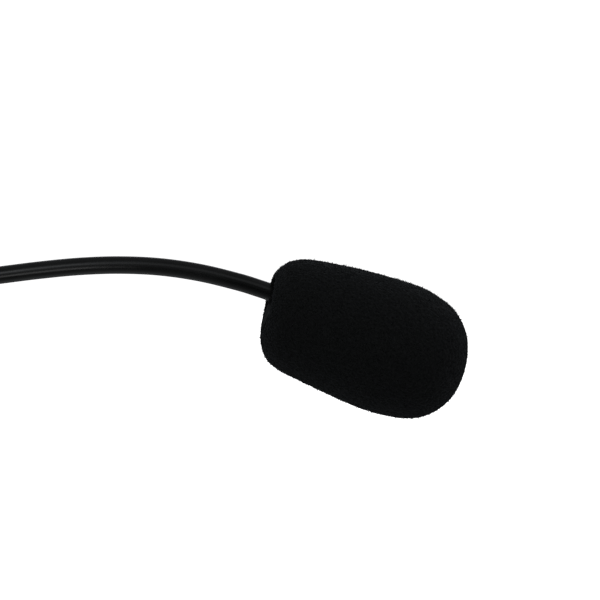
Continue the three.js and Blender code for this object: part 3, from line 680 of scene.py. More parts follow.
def make_windscreen():
    seat = BASE + A * 0.2
    sp = 0.165
    MOUTH = 4.95
    top, low = catmull(FOAM_TOP, 8), catmull(FOAM_LOW, 8)
    count = int(round(np.linalg.norm(np.diff(top, axis=0), axis=1).sum() / sp))
    top, low = resample(top, count=count), resample(low, count=count)
    n = int(round(2 * math.pi * 11.0 / sp))
    ang = np.linspace(0, 2 * math.pi, n, endpoint=False)
    ca, sa = np.cos(ang), np.sin(ang)
    rings = []
    for (su, ru), (sl, rl) in zip(top, low):
        # up the section the two cuts are (su, ru) and (sl, -rl); round it they join as a leaning ellipse
        s_mid, s_half = (su + sl) / 2, (su - sl) / 2
        centre, radius = (ru - rl) / 2, max((ru + rl) / 2, 0.004)
        rings.append(seat + np.outer(s_mid + s_half * ca, A) + np.outer(centre + radius * ca, B) + np.outer(radius * sa, C))
    P = np.array(rings)                                    # rows, n, 3
    dv = np.gradient(P, axis=0)
    du = np.roll(P, -1, axis=1) - np.roll(P, 1, axis=1)
    N = np.cross(dv, du)
    N /= np.maximum(np.linalg.norm(N, axis=2), 1e-9)[..., None]
    mid = seat + A * 19
    if ((P[len(P) // 2] - mid) * N[len(P) // 2]).sum() < 0:
        N = -N
    N[-1] = A
    N[0] = N[1]
    flat = P.reshape(-1, 3)
    f1, f2 = worley(flat, 0.46, 11)
    g1, _ = worley(flat + 31.7, 0.24, 12)
    b1, _ = worley(flat + 5.3, 1.9, 13)
    pit = np.clip(f1 / 0.30, 0, 1)
    wall = np.clip((f2 - f1) / 0.12, 0, 1)
    h = 0.17 * pit**1.3 - 0.10 + 0.06 * (1 - wall) + 0.05 * (np.clip(g1 / 0.15, 0, 1) - 0.6)
    h += 0.07 * (np.clip(b1 / 1.3, 0, 1) - 0.5)            # slow waviness of a cut foam face
    h = h.reshape(P.shape[:2])
    fade = np.clip((np.arange(len(P)) * sp) / 0.6, 0, 1) * np.clip((len(P) - 1 - np.arange(len(P))) * sp / 0.5, 0.0, 1)
    Q = P + N * (h * fade[:, None])[..., None]
    Q[-1] = Q[-1].mean(0)
    m = len(Q)
    verts = [Q.reshape(-1, 3)]
    idx = np.arange(m * n).reshape(m, n)
    nxt = np.roll(idx, -1, axis=1)
    faces = np.stack([idx[:-1], nxt[:-1], nxt[1:], idx[1:]], -1).reshape(-1, 4).tolist()
    # the bore: rings inwards from the lip, closed at its end
    bore = [(1.9, MOUTH), (2.8, MOUTH), (4.5, MOUTH), (8, MOUTH), (12, MOUTH), (16, MOUTH), (20, MOUTH), (23.2, MOUTH), (24.0, MOUTH - 0.25), (24.2, MOUTH - 1.0), (24.2, 2.0), (24.2, 0.5)]
    prev = idx[0]
    start = m * n
    lean = (top[0][0] - low[0][0]) / 2
    for k, (s, r) in enumerate(bore):
        jit = rng.uniform(-0.05, 0.05, n)
        tilt = lean * max(1 - (k + 1) / 3.0, 0.0)
        verts.append(seat + np.outer(s + tilt * ca, A) + np.outer((r + jit) * ca, B) + np.outer((r + jit) * sa, C))
        cur = np.arange(start, start + n)
        faces.extend(np.stack([prev, cur, np.roll(cur, -1), np.roll(prev, -1)], -1).tolist())
        prev = cur
        start += n
    faces.append(prev.tolist())
    # broken strut ends standing out of the cut skin
    rs = np.random.RandomState(21)
    want = 12000
    area_w = np.linalg.norm(P - (seat + np.outer((P.reshape(-1, 3) - seat) @ A, A)).reshape(P.shape), axis=2)
    p_row = area_w.reshape(-1)
    p_row[: n * 6] = 0
    p_row = p_row / p_row.sum()
    pick = rs.choice(m * n, want, replace=True, p=p_row)
    o = Q.reshape(-1, 3)[pick] + rs.normal(0, 0.05, (want, 3))
    nn = N.reshape(-1, 3)[pick]
    lean_v = nn + rs.normal(0, 0.5, (want, 3))
    lean_v /= np.linalg.norm(lean_v, axis=1)[:, None]
    ref = np.where(np.abs(lean_v[:, 2:3]) < 0.9, Z[None, :], X[None, :])
    e1 = np.cross(lean_v, ref)
    e1 /= np.linalg.norm(e1, axis=1)[:, None]
    e2 = np.cross(lean_v, e1)
    w = rs.uniform(0.05, 0.11, want)[:, None]
    tall = rs.uniform(0.06, 0.34, want)[:, None]
    foot = o - nn * 0.07
    tri = [foot + (e1 * math.cos(a) + e2 * math.sin(a)) * w for a in (0, 2.0944, 4.1888)]
    tips = o + lean_v * tall
    block = np.stack([tri[0], tri[1], tri[2], tips], 1).reshape(-1, 3)
    verts.append(block)
    k = start + np.arange(want) * 4
    for a, b in ((0, 1), (1, 2), (2, 0)):
        faces.extend(np.stack([k + a, k + b, k + 3], -1).tolist())
    faces.extend(np.stack([k, k + 2, k + 1], -1).tolist())
    return build("windscreen_open_cell_foam", np.concatenate(verts), faces, "foam", "windscreen", ["windscreen_foam"], angle=0)


foam = make_windscreen()

# ------------------------------------------------------------------- the boom
up = Z
RING = 0.5


def seg_range(i):
    s0 = FLEX_START + i * PITCH_LEN
    return s0, s0 + PITCH_LEN


def boom_mid(i):
    a, b = seg_range(i)
    return (a + b) / 2


def boom_samples(s0, s1):
    n = max(int(round((s1 - s0) / RING)), 2)
    s = np.linspace(s0, s1, n + 1)
    return np.array([boom_at(x) for x in s]), np.array([boom_dir(x) for x in s])


def jacket(name, s0, s1, replaces):
    sh = Shape()
    path, tans = boom_samples(s0, s1)
    hollow_tube(sh, path, tans, 1.55, 1.2, up, 64)
    return sh.object(name, "jacket", None, replaces, angle=40)


def lead_piece(name, pts, replaces=()):
    sh = Shape()
    sweep(sh, pts, circle(0.28, 10), up)
    return sh.object(name, "lead", None, replaces, angle=60)


rear = jacket("boom_jacket_1", FLEX_START - 0.15, boom_mid(0), ["boom_sleeve_1"])
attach(rear, "boom_1")
for i in range(SEGMENTS - 1):
    piece = jacket(f"boom_jacket_{i + 2}", boom_mid(i), boom_mid(i + 1), [f"boom_sleeve_{i + 2}"])
    s, e = W(boom_at(boom_mid(i))), W(boom_at(boom_mid(i + 1)))
    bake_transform(piece)
    wire = lead_piece(f"lead_in_boom_{i + 2}", boom_samples(boom_mid(i), boom_mid(i + 1))[0])
    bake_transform(wire)
front = jacket("boom_jacket_8", boom_mid(SEGMENTS - 1), BOOM_END, [])
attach(front, "boom_7")
rear_lead = lead_piece("lead_in_boom_1", np.vstack([[on_boom(TUBE_REAR - 3.0)], [on_boom(0)], [on_boom(TUBE_FRONT - 4)], boom_samples(TUBE_FRONT, boom_mid(0))[0]]), ["mic_lead"])
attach(rear_lead, "boom_1")
cap_pt = lambda s, h: BASE + A * s + B * h
front_lead = lead_piece("lead_in_capsule", np.vstack([boom_samples(boom_mid(SEGMENTS - 1), BOOM_END)[0], [cap_pt(3, DROP)], [cap_pt(6.5, DROP)], [cap_pt(11.8, DROP)]]))
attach(front_lead, "boom_7")

# rear tube, collar, cable bush
sh = Shape()
lathe(sh, rounded([(TUBE_REAR, 1.25), (TUBE_REAR, 2.0), (TUBE_FRONT, 2.0), (TUBE_FRONT, 1.25), (TUBE_REAR, 1.25)], [0, 0.2, 0.2, 0.1, 0], 3), PIVOT_MM, E, 56)
sh.object("boom_rear_tube", "dark", "boom_1", ["boom_tube"])
sh = Shape()
c0, c1 = TUBE_FRONT - 2.6, TUBE_FRONT + 4.0
lathe(sh, rounded([(c0, 2.06), (c0, 2.75), (c0 + 0.55, 2.9), (c0 + 0.9, 2.62), (c0 + 1.25, 2.9), (c0 + 1.6, 2.62), (c0 + 1.95, 2.9), (TUBE_FRONT + 1.2, 2.9), (c1 - 0.5, 1.95), (c1, 1.72), (c1, 1.2),
                   (TUBE_FRONT + GAP, 1.2), (TUBE_FRONT + GAP, 2.06), (c0, 2.06)], [0, .12, .1, .08, .1, .08, .1, .7, .3, .1, .05, .02, .02, 0], 4), PIVOT_MM, E, 56)
sh.object("boom_front_collar", "dark", "boom_1", ["boom_collar"])
sh = Shape()
g0 = TUBE_REAR - GAP
prof = [(g0 - 9.3, 1.1), (g0 - 9.3, 1.85)]
ribs = 5
for k in range(ribs):
    s = g0 - 8.9 + k * 1.15
    prof += [(s, 1.95 + 0.06 * k), (s + 0.55, 1.95 + 0.06 * k), (s + 0.62, 1.62 + 0.06 * k), (s + 1.05, 1.64 + 0.06 * k)]
prof += [(g0 - 2.6, 2.3), (g0, 2.3), (g0, 0.95), (g0 + 2.9, 0.95), (g0 + 2.9, 0.6), (g0 - 3.1, 0.6), (g0 - 3.1, 1.1), (g0 - 9.3, 1.1)]
lathe(sh, rounded(prof, [0] + [0.14] * (len(prof) - 2) + [0], 3), PIVOT_MM, E, 44)
sh.object("boom_cable_bush", "rubber", "boom_1", ["boom_gland"])

# -------------------------------------------------------------------- capsule
# rear cap with its entry boot round the boom's end
sh = Shape()
lathe(sh, rounded([(1.5, 0), (1.5, 3.95), (2.12, 4.6), (4.9, 4.6), (5.0, 4.46), (5.25, 4.46), (5.35, 4.6), (6.0, 4.6), (6.0, 3.5), (8.6, 3.5), (8.6, 3.0), (7.4, 3.0), (7.4, 0)],
                  [0, 0.25, 0.3, 0.05, 0.05, 0.05, 0.05, 0.12, 0.05, 0.15, 0.1, 0.1, 0], 4), BASE, A, 72)
lathe(sh, rounded([(1.02, 1.62), (1.02, 1.95), (1.2, 2.1), (1.62, 2.1), (1.62, 1.62), (1.02, 1.62)], [0, .08, .08, 0, 0, 0], 3), BASE + B * DROP, A, 40)
# the cap's very dark colour is painted shade inside the foam's mouth
sh.object("capsule_rear_cap_moulded", "cap", "boom_7", ["capsule_rear_cap"])
# housing barrel: lead-in chamfers, a register line and a coined band for the fingers
sh = Shape()
prof = [(6.3, 3.82), (6.3, 4.45), (6.5, 4.6), (7.6, 4.6), (7.68, 4.48), (7.9, 4.48), (7.98, 4.6), (15.2, 4.6)]
for k in range(4):
    s = 15.4 + k * 0.62
    prof += [(s, 4.6), (s + 0.08, 4.44), (s + 0.26, 4.44), (s + 0.34, 4.6)]
prof += [(18.8, 4.6), (19.0, 4.45), (19.0, 3.82), (6.3, 3.82)]
lathe(sh, rounded(prof, [0] + [0.06] * (len(prof) - 2) + [0], 2), BASE, A, 96)
sh.object("capsule_housing_barrel", "dark", "boom_7", ["capsule_housing"])


# grille: a perforated face, a rolled edge and the spigot that fits the barrel
def grille():
    n = 260
    ang = np.linspace(0, 2 * math.pi, n, endpoint=False)
    holes = []
    for i in range(-5, 6):
        for j in range(-5, 6):
            hx, hy = (i + 0.5 * (j % 2)) * 1.08, j * 0.935
            if math.hypot(hx, hy) < 3.35:
                holes.append((hx, hy))
    holes = np.array(holes)
    face_r = np.concatenate([np.arange(0.02, 3.75, 0.075), [3.8, 3.9]])
    rings = []

    def ring(r, s):
        s = np.full(n, s) if np.isscalar(s) else s
        return BASE + np.outer(s, A) + np.outer(r * np.cos(ang), B) + np.outer(r * np.sin(ang), C)
    for r in face_r:
        x, y = r * np.cos(ang), r * np.sin(ang)
        d = np.sqrt((x[:, None] - holes[:, 0]) ** 2 + (y[:, None] - holes[:, 1]) ** 2).min(1)
        dish = 23.2 - 0.10 * (1 - (r / 3.9) ** 2)
        rings.append(ring(r, dish - 0.5 * np.clip((0.36 - d) / 0.06, 0, 1)))
    for r, s in [(4.1, 23.17), (4.3, 23.06), (4.47, 22.88), (4.57, 22.65), (4.6, 22.4), (4.6, 20.6), (4.48, 20.52), (4.48, 20.3), (4.6, 20.22), (4.6, 19.5), (4.55, 19.36), (4.45, 19.3), (3.5, 19.3), (3.5, 17.7), (3.42, 17.6), (3.05, 17.6), (3.05, 22.4), (0.02, 22.4)]:
        rings.append(ring(r, s))
    g = Shape()
    g.rings(rings)
    return g.object("capsule_perforated_grille", "dark", "boom_7", ["capsule_grille"], angle=40)


grille()

# --------------------------------------------------------------- boom clamp
disc_y = -EAR_OUT - 1.2
disc0 = np.array([0, disc_y, PIVOT_MM[2]])
sh = Shape()
lathe(sh, rounded([(0, 0), (0, 5.75), (1.8, 5.75), (1.8, 0)], [0, 0.35, 0.45, 0], 5), disc0, OUT, 56)
sh.object("clamp_swivel_disc", "abs_fine", "boom_clamp", [])
# block with the boom's passage: outer skin as rings along the boom, inner passage joined at both ends
def clamp_ring(t, inset, n=64):
    """Rounded-rectangle section across the boom at station t, ordered by angle round the boom."""
    ang = np.linspace(0, 2 * math.pi, n, endpoint=False)
    w, h, r = 8.6 - 2 * inset, 8.6 - 2 * inset, max(1.9 - inset, 0.3)
    pts = []
    for a in ang:
        d = np.array([math.cos(a), math.sin(a)])
        lo_, hi_ = 0.0, 9.0
        for _ in range(26):
            m_ = (lo_ + hi_) / 2
            q = np.abs(d * m_) - np.array([w / 2 - r, h / 2 - r])
            dist = np.linalg.norm(np.maximum(q, 0)) + min(max(q[0], q[1]), 0) - r
            if dist > 0:
                hi_ = m_
            else:
                lo_ = m_
        pts.append(d * lo_)
    pts = np.array(pts)
    centre = PIVOT_MM + np.array([0, disc_y - 1.2 - 4.3 + 86.0, 0])
    return centre + E * t + np.outer(pts[:, 0], OUT) + np.outer(pts[:, 1], U)
def bore_ring(t, r, n=64):
    ang = np.linspace(0, 2 * math.pi, n, endpoint=False)
    return PIVOT_MM + E * t + np.outer(r * np.cos(ang), OUT) + np.outer(r * np.sin(ang), U)
sh = Shape()
stations = [(-5.5, 0.9), (-5.42, 0.55), (-5.2, 0.25), (-4.85, 0.06), (-4.5, 0.0), (-0.35, 0.0), (-0.2, 0.14), (0.2, 0.14), (0.35, 0.0), (4.5, 0.0), (4.85, 0.06), (5.2, 0.25), (5.42, 0.55), (5.5, 0.9)]
rings = [bore_ring(-5.5, 2.55), *[clamp_ring(t, i) for t, i in stations], bore_ring(5.5, 2.55), bore_ring(5.2, 2.27), bore_ring(-5.2, 2.27)]
sh.rings(rings, closed=True)
sh.object("clamp_block", "abs_fine", "boom_clamp", ["boom_clamp_body"])

# knob: turned body with a coined grip
knob0 = PIVOT_MM + U * 4.6
def grip(s, r, ang):
    amount = 1.0 if 0.75 < s < 3.7 and r > 3.3 else 0.0
    edge = min(max((s - 0.75) / 0.5, 0), 1) * min(max((3.75 - s) / 0.5, 0), 1)
    return r - 0.20 * amount * edge * (0.5 + 0.5 * np.cos(ang * 30)) ** 0.6
sh = Shape()
prof = [(0.0, 0.0), (0.0, 2.55), (0.35, 2.75), (0.55, 3.3), (0.75, 3.75), (1.0, 3.9), (1.3, 3.9), (2.2, 3.9), (3.1, 3.9), (3.4, 3.88), (3.7, 3.7), (3.95, 3.3), (4.2, 2.9), (4.4, 2.5), (4.42, 2.1), (4.28, 1.9), (4.25, 0.0)]
lathe(sh, prof, knob0, U, 240, scallop=lambda s, r, a: grip(s, max(r, 1e-4), a) if r > 0 else np.full(len(a), 1e-4))
sh.object("clamp_thumb_knob", "abs_fine", "clamp_knob", ["clamp_knob"], angle=40)


# ------------------------------------------------------------------ ear units
def ear_unit(side, body):
    """side -1 is the wearer's right. Built for the right, mirrored for the left."""
    tag = "right" if side < 0 else "left"
    fix = (lambda p: p) if side < 0 else mirrored

    def obj(sh_, name, mat, b, rep=(), angle=32):
        return build(name, fix(np.array(sh_.v)), sh_.f, mat, b, rep, angle)

    mid = np.array([0, 0, EAR_H / 2])
    # outer shell: full fillet on the outer edge, a shallow raised panel line, and a parting lip
    s1 = Shape()
    y_in, y_out = -(EAR_SPLIT + 0.15), -EAR_OUT
    r = 1.9
    prof = [(1.5, y_in), (0.34, y_in), (0.30, y_in - 0.05), (0.30, y_in - 0.28), (0.1, y_in - 0.40), (0.0, y_in - 0.52)]
    prof += [(0.0, y_out + r + 0.3)]
    prof += [(r * (1 - math.cos(a)), y_out + r * (1 - math.sin(a))) for a in np.linspace(0, math.pi / 2, 9)]
    prof += [(2.55, y_out), (2.62, y_out + 0.03), (2.70, y_out + 0.14), (2.86, y_out + 0.16), (2.95, y_out + 0.14), (3.05, y_out + 0.03), (3.14, y_out)]
    slab(s1, EAR_W, EAR_H, EAR_CORNER, mid, X, Z, Y, prof, per=10)
    obj(s1, f"{tag}_ear_outer_shell", "abs", body, [f"{tag}_ear_shell"], angle=34)
    # slide guide behind the shell
    s2 = Shape()
    yc = (-(EAR_MID + 3.7) - (EAR_SPLIT + 0.15)) / 2
    depth = (EAR_MID + 3.7) - (EAR_SPLIT + 0.15)
    guide = [(1.3, SNOUT_REAR), (0.75, SNOUT_REAR + 0.08), (0.32, SNOUT_REAR + 0.3), (0.08, SNOUT_REAR + 0.7), (0, SNOUT_REAR + 1.1), (0, SNOUT_REAR + 2.6), (0.22, SNOUT_REAR + 2.72), (0.22, SNOUT_REAR + 3.0), (0, SNOUT_REAR + 3.12)]
    for k in range(5):
        a0 = SNOUT_REAR + 5.2 + k * 1.5
        guide += [(0, a0), (0.24, a0 + 0.18), (0.24, a0 + 0.5), (0, a0 + 0.68)]
    guide += [(0, -9.5), (-0.15, -8.4), (-0.5, -7.6), (-0.9, -6.7), (-0.9, -6.2)]
    slab(s2, depth, 8.6, 1.4, np.array([0, yc, STRIP_Z]), Y, Z, X, guide, per=6)
    obj(s2, f"{tag}_slide_guide", "abs", body, [], angle=34)
    # slot lip at the guide's mouth
    s3 = Shape()
    slab(s3, 2.0, 7.2, 0.9, np.array([0, -EAR_MID, STRIP_Z]), Y, Z, X, [(0.3, SNOUT_REAR + 1.0), (0.0, SNOUT_REAR + 0.4), (0.0, SNOUT_REAR - 0.12), (0.1, SNOUT_REAR - 0.24), (0.28, SNOUT_REAR - 0.24), (0.3, SNOUT_REAR - 0.1), (0.3, SNOUT_REAR + 0.8)], per=5, closed=True)
    obj(s3, f"{tag}_guide_mouth_lip", "rubber", body, [])
    # inner cover, crowned edge, parting step, and two screw wells
    s4 = Shape()
    yi, yo = -(EAR_SPLIT - 0.15), -EAR_IN
    prof = [(1.2, yi), (0.12, yi), (0.0, yi + 0.12), (0.0, yo - 0.9)]
    prof += [(0.9 * (1 - math.cos(a)), yo - 0.9 * (1 - math.sin(a))) for a in np.linspace(0, math.pi / 2, 7)]
    slab(s4, EAR_W, EAR_H, EAR_CORNER, mid, X, Z, Y, prof, per=10)
    obj(s4, f"{tag}_ear_inner_cover", "abs", body, [f"{tag}_ear_cover"], angle=34)
    for z, which in ((6.0, "lower"), (29.1, "upper")):
        s5 = Shape()
        screw_head(s5, np.array([0, -EAR_IN + 0.04, z]), Y, 1.75, 0.35, 0.8, 5.3, sink=0.3, hex_r=0.75)
        obj(s5, f"{tag}_cover_{which}_screw", "screw", body, [f"{tag}_cover_screw_{which}"])
        s6 = Shape()
        lathe(s6, rounded([(0.06, 1.72), (0.06, 2.2), (-0.3, 2.25), (-0.3, 1.72), (0.06, 1.72)], [0, .05, 0, 0, 0], 2), np.array([0, -EAR_IN, z]), Y, 44)
        obj(s6, f"{tag}_{which}_screw_rim", "abs", body)
    return tag


ear_unit(-1, "right_ear_unit")
ear_unit(1, "left_ear_unit")

# plug in the unused hole
sh = Shape()
lathe(sh, rounded([(-1.5, 0), (-1.5, 1.15), (0.02, 1.15), (0.02, 5.2), (1.5, 5.2), (1.5, 3.6), (1.28, 3.4), (1.28, 0)], [0, .2, 0, .1, .55, .2, .15, 0], 5), np.array([0, EAR_OUT, PIVOT_MM[2]]), Y, 64)
sh.object("left_hole_plug", "abs", "left_ear_unit", ["left_blanking_plug"])


# ------------------------------------------------------------------ ear hooks
def smoothstep(t):
    t = min(max(t, 0.0), 1.0)
    return t * t * (3 - 2 * t)


hook_pts = np.array([[x, -EAR_MID + (2.0 * smoothstep((i - 5) / 5) if i > 5 else 0), z] for i, (x, z) in enumerate(HOOK)])
hook_path = catmull(hook_pts, 12)
hook_d = np.concatenate([[0], np.cumsum(np.linalg.norm(np.diff(hook_path, axis=0), axis=1))])


def hook_at(s):
    return np.array([np.interp(s, hook_d, hook_path[:, k]) for k in range(3)])


def ear_hook(side, body):
    tag = "right" if side < 0 else "left"
    fix = (lambda p: p) if side < 0 else mirrored
    # knuckle with a collar and a waist
    s1 = Shape()
    base = np.array([0, -EAR_MID, EAR_H])
    prof = rounded([(-0.6, 0), (-0.6, 1.0), (GAP, 1.0), (GAP, 3.1), (1.1, 3.3), (2.4, 3.3), (2.75, 2.95), (3.1, 3.2), (3.7, 3.2), (6.2, 2.15), (6.2, 0)], [0, .1, .05, .3, .3, .2, .15, .2, .5, .35, 0], 5)
    lathe(s1, prof, base, Z, 56)
    build(f"{tag}_hook_pivot_knuckle", fix(np.array(s1.v)), s1.f, "abs_fine", body, [f"{tag}_hook_knuckle"])
    # silicone over the wire: a short cuff, an even run, and a fuller soft tail
    total = hook_d[-1]
    s0 = 2.9
    s = np.concatenate([[s0, s0 + 0.05, s0 + 0.25, s0 + 0.6, s0 + 1.4, s0 + 1.8, s0 + 2.1], np.linspace(s0 + 3, total - 10, 110), np.linspace(total - 9.2, total, 26)[:-1]])
    rad = []
    for q in s:
        k = q - s0
        if k < 2.2:
            r = np.interp(k, [0, 0.05, 0.25, 0.6, 1.4, 1.8, 2.1], [1.5, 1.8, 1.98, 2.05, 2.05, 1.9, 1.76])
        else:
            back = total - q
            r = 1.70 + 0.38 * smoothstep((9.0 - back) / 6.0) if back < 9 else 1.70
        rad.append(r)
    path = [hook_at(q) for q in s]
    # rounded end
    d_end = unit(path[-1] - path[-2])
    end = hook_at(total)
    for a in np.linspace(0.0, math.pi / 2, 9)[0:-1]:
        path.append(end + d_end * (2.08 * math.sin(a) - 0.2))
        rad.append(2.08 * math.cos(a))
    path.append(end + d_end * 1.88)
    rad.append(0.02)
    path, rad = np.array(path), np.array(rad)
    t = tangents(path)
    t[-10:] = d_end
    sec = circle(1.0, 40)
    s2 = Shape()
    rings = []
    for p, tt, r in zip(path, t, rad):
        side_v = unit(np.cross(tt, Y))
        top = np.cross(side_v, tt)
        rings.append(p + np.outer(sec[:, 0] * r, side_v) + np.outer(sec[:, 1] * r, top))
    s2.rings(rings)
    build(f"{tag}_hook_silicone", fix(np.array(s2.v)), s2.f, "silicone", body, [f"{tag}_hook_sleeve"], angle=45)


ear_hook(-1, "right_hook")
ear_hook(1, "left_hook")


# ------------------------------------------------------------------ neck band
def lift(x):
    return NAPE_Z + (STRIP_Z - NAPE_Z) * smoothstep((x - BAND_X) / (BAND_CORNER_X - BAND_X))


def band_path(y0, x_end, spacing=1.2):
    a0 = math.asin((y0 - CORNER_Y) / BAND_R)
    n = int((math.pi / 2 - a0) * BAND_R / spacing)
    pts = []
    for i in range(n + 1):
        a = a0 + (math.pi / 2 - a0) * i / n
        x = BAND_CORNER_X - BAND_R * math.cos(a)
        pts.append((x, -CORNER_Y - BAND_R * math.sin(a), lift(x)))
    m = int((x_end - BAND_CORNER_X) / spacing) + 1
    for i in range(1, m + 1):
        x = BAND_CORNER_X + (x_end - BAND_CORNER_X) * i / m
        pts.append((x, -EAR_MID, STRIP_Z))
    return np.array(pts)


def oval(w, h, n=40, p=3.2):
    """Superellipse section: flat sides, soft edges."""
    a = np.linspace(0, 2 * math.pi, n, endpoint=False)
    c, s = np.cos(a), np.sin(a)
    return np.stack([w / 2 * np.sign(c) * np.abs(c) ** (2 / p), h / 2 * np.sign(s) * np.abs(s) ** (2 / p)], 1)


def band_leg(side):
    tag = "right" if side < 0 else "left"
    fix = (lambda p: p) if side < 0 else mirrored
    path = band_path(PAD_HALF + 0.25, SNOUT_REAR - 0.9)
    d = np.concatenate([[0], np.cumsum(np.linalg.norm(np.diff(path, axis=0), axis=1))])
    total = d[-1]

    def section(i):
        s = d[i]
        w, h = 3.0, 8.6
        # moulded collars at both ends
        k = max(1 - s / 7.0, 0.0)
        w += 1.4 * smoothstep(k * 1.6)
        h += 1.2 * smoothstep(k * 1.6)
        e = total - s
        if e < 3.2:
            w += 0.5
            h += 0.3
        for end in (s, e):
            if end < 0.5:
                q = 1 - 0.10 * (1 - end / 0.5) ** 2
                w *= q
                h *= q
        return oval(w, h)

    sh_ = Shape()
    sweep(sh_, path, section, Z)
    v = fix(np.array(sh_.v))
    o = build(f"{tag}_band_rubber_sleeve", v, sh_.f, "rubber", None, [f"band_sleeve_{tag}"], angle=40)
    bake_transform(o)
    return o


band_leg(-1)
band_leg(1)

# nape pad: crowned soft cushion with a piped edge
pad_shape = Shape()
x0, x1 = BAND_X + 0.75, BAND_X + 6.2
rings = []
prof = [(1.6, x0), (0.25, x0), (0.0, x0 + 0.35), (0.0, x0 + 1.3), (0.28, x0 + 1.55), (0.28, x0 + 1.75), (0.02, x0 + 2.0), (0.0, x0 + 2.6)]
prof += [(2.4 * (1 - math.cos(a)), x1 - 2.4 + 2.4 * math.sin(a) - 0.25 * math.sin(a)) for a in np.linspace(0.2, math.pi / 2, 9)]
prof += [(3.2, x1 - 0.18), (4.6, x1 - 0.08), (6.4, x1 - 0.02), (8.2, x1)]
slab(pad_shape, 2 * PAD_HALF, 18, 5, np.array([0, 0, NAPE_Z]), Y, Z, X, prof, per=10)
pad = pad_shape.object("nape_soft_cushion", "silicone", "band", ["nape_pad_inner"], angle=40)
cov = Shape()
x0, x1 = BAND_X - 0.75, BAND_X - 4.0
prof = [(1.2, x0), (0.12, x0), (0.0, x0 - 0.15), (0.0, x1 + 1.5)]
prof += [(1.5 * (1 - math.cos(a)), x1 + 1.5 * (1 - math.sin(a))) for a in np.linspace(0, math.pi / 2, 8)]
prof += [(2.6, x1), (2.68, x1 + 0.03), (2.78, x1 + 0.15), (2.95, x1 + 0.15), (3.05, x1 + 0.03), (3.14, x1)]
slab(cov, 2 * PAD_HALF, 18, 5, np.array([0, 0, NAPE_Z]), Y, Z, X, prof, per=10)
cov.object("nape_stiff_cover", "abs", "band", ["nape_pad_outer"], angle=34)
for side_name, y in (("right", -14.0), ("left", 14.0)):
    s5 = Shape()
    screw_head(s5, np.array([BAND_X - 4.0 - 0.12, y, NAPE_Z]), -X, 1.85, 0.5, 0.95, 6.8, sink=0.35, hex_r=0.85)
    s5.object(f"nape_{side_name}_socket_screw", "screw", "band", [f"nape_screw_{side_name}"])
    s6 = Shape()
    lathe(s6, rounded([(0.02, 1.95), (0.1, 2.1), (0.1, 2.45), (-0.25, 2.6), (-0.25, 1.95), (0.02, 1.95)], [0, .04, .08, 0, 0, 0], 2), np.array([BAND_X - 4.0, y, NAPE_Z]), -X, 44)
    s6.object(f"nape_{side_name}_screw_rim", "abs", "band", [])

# --------------------------------------------------- CAD pieces that stay as is
keep = {
    "band_strip_centre": "steel", "band_strip_right": "steel", "band_strip_left": "steel",
    "right_slide_spring": "steel", "left_slide_spring": "steel", "right_hook_wire": "steel", "left_hook_wire": "steel",
    "right_hook_clip": "steel", "left_hook_clip": "steel", "pivot_friction_washer": "rubber", "pivot_spring_washer": "screw", "pivot_screw": "screw",
    "clamp_stud": "brass", "capsule_felt": "felt",
    "electret_element": "brass", "capsule_shock_ring": "rubber", "capsule_board": "board",
}
for i in range(1, SEGMENTS + 1):
    keep[f"boom_coil_{i}"] = "steel"
for n, key in keep.items():
    give(frame["nodes"][n], key)

# ------------------------------------------------------------ floor and lights
def stage_material():
    m = bpy.data.materials.new("studio_floor")
    m.use_nodes = True
    nt = m.node_tree
    b = nt.nodes["Principled BSDF"]
    b.inputs["Roughness"].default_value = 0.9
    b.inputs["Specular IOR Level"].default_value = 0.1
    b.inputs["Emission Color"].default_value = (1, 1, 1, 1)
    b.inputs["Emission Strength"].default_value = 0.89
    co = nt.nodes.new("ShaderNodeTexCoord")
    nt.links.new(ramp_color(nt, noise_node(nt, co.outputs["Object"], 8, 4), [(0.3, (0.85, 0.85, 0.85)), (0.7, (0.87, 0.87, 0.87))]), b.inputs["Base Color"])
    return m


fl = bpy.data.meshes.new("studio_floor")
F = 200.0
fl.from_pydata([(-F, -F, 0), (F, -F, 0), (F, F, 0), (-F, F, 0)], [], [(0, 1, 2, 3)])
floor = bpy.data.objects.new("studio_floor", fl)
floor.location = (0, 0, -0.12)
fl.materials.append(stage_material())
bpy.context.scene.collection.objects.link(floor)
floor.visible_glossy = False
floor.visible_diffuse = False
floor.visible_shadow = False

world = bpy.data.worlds.new("studio")
bpy.context.scene.world = world
world.use_nodes = True
wn = world.node_tree


def toward(az, el):
    """Unit vector at an azimuth (0 looks back along -Y, positive towards +X) and elevation, in degrees."""
    a, e = math.radians(az), math.radians(el)
    return np.array([math.sin(a) * math.cos(e), -math.cos(a) * math.cos(e), math.sin(e)])


def wvec(op, a, b):
    n = wn.nodes.new("ShaderNodeVectorMath")
    n.operation = op
    wn.links.new(a, n.inputs[0])
    n.inputs[1].default_value = tuple(b)
    return n.outputs["Value"]


def wrange(value, lo, hi, a=0.0, b=1.0):
    n = wn.nodes.new("ShaderNodeMapRange")
    n.interpolation_type = "SMOOTHSTEP"
    for k, v in (("From Min", lo), ("From Max", hi), ("To Min", a), ("To Max", b)):
        n.inputs[k].default_value = v
    wn.links.new(value, n.inputs["Value"])
    return n.outputs["Result"]


sky = wn.nodes.new("ShaderNodeTexCoord").outputs["Generated"]


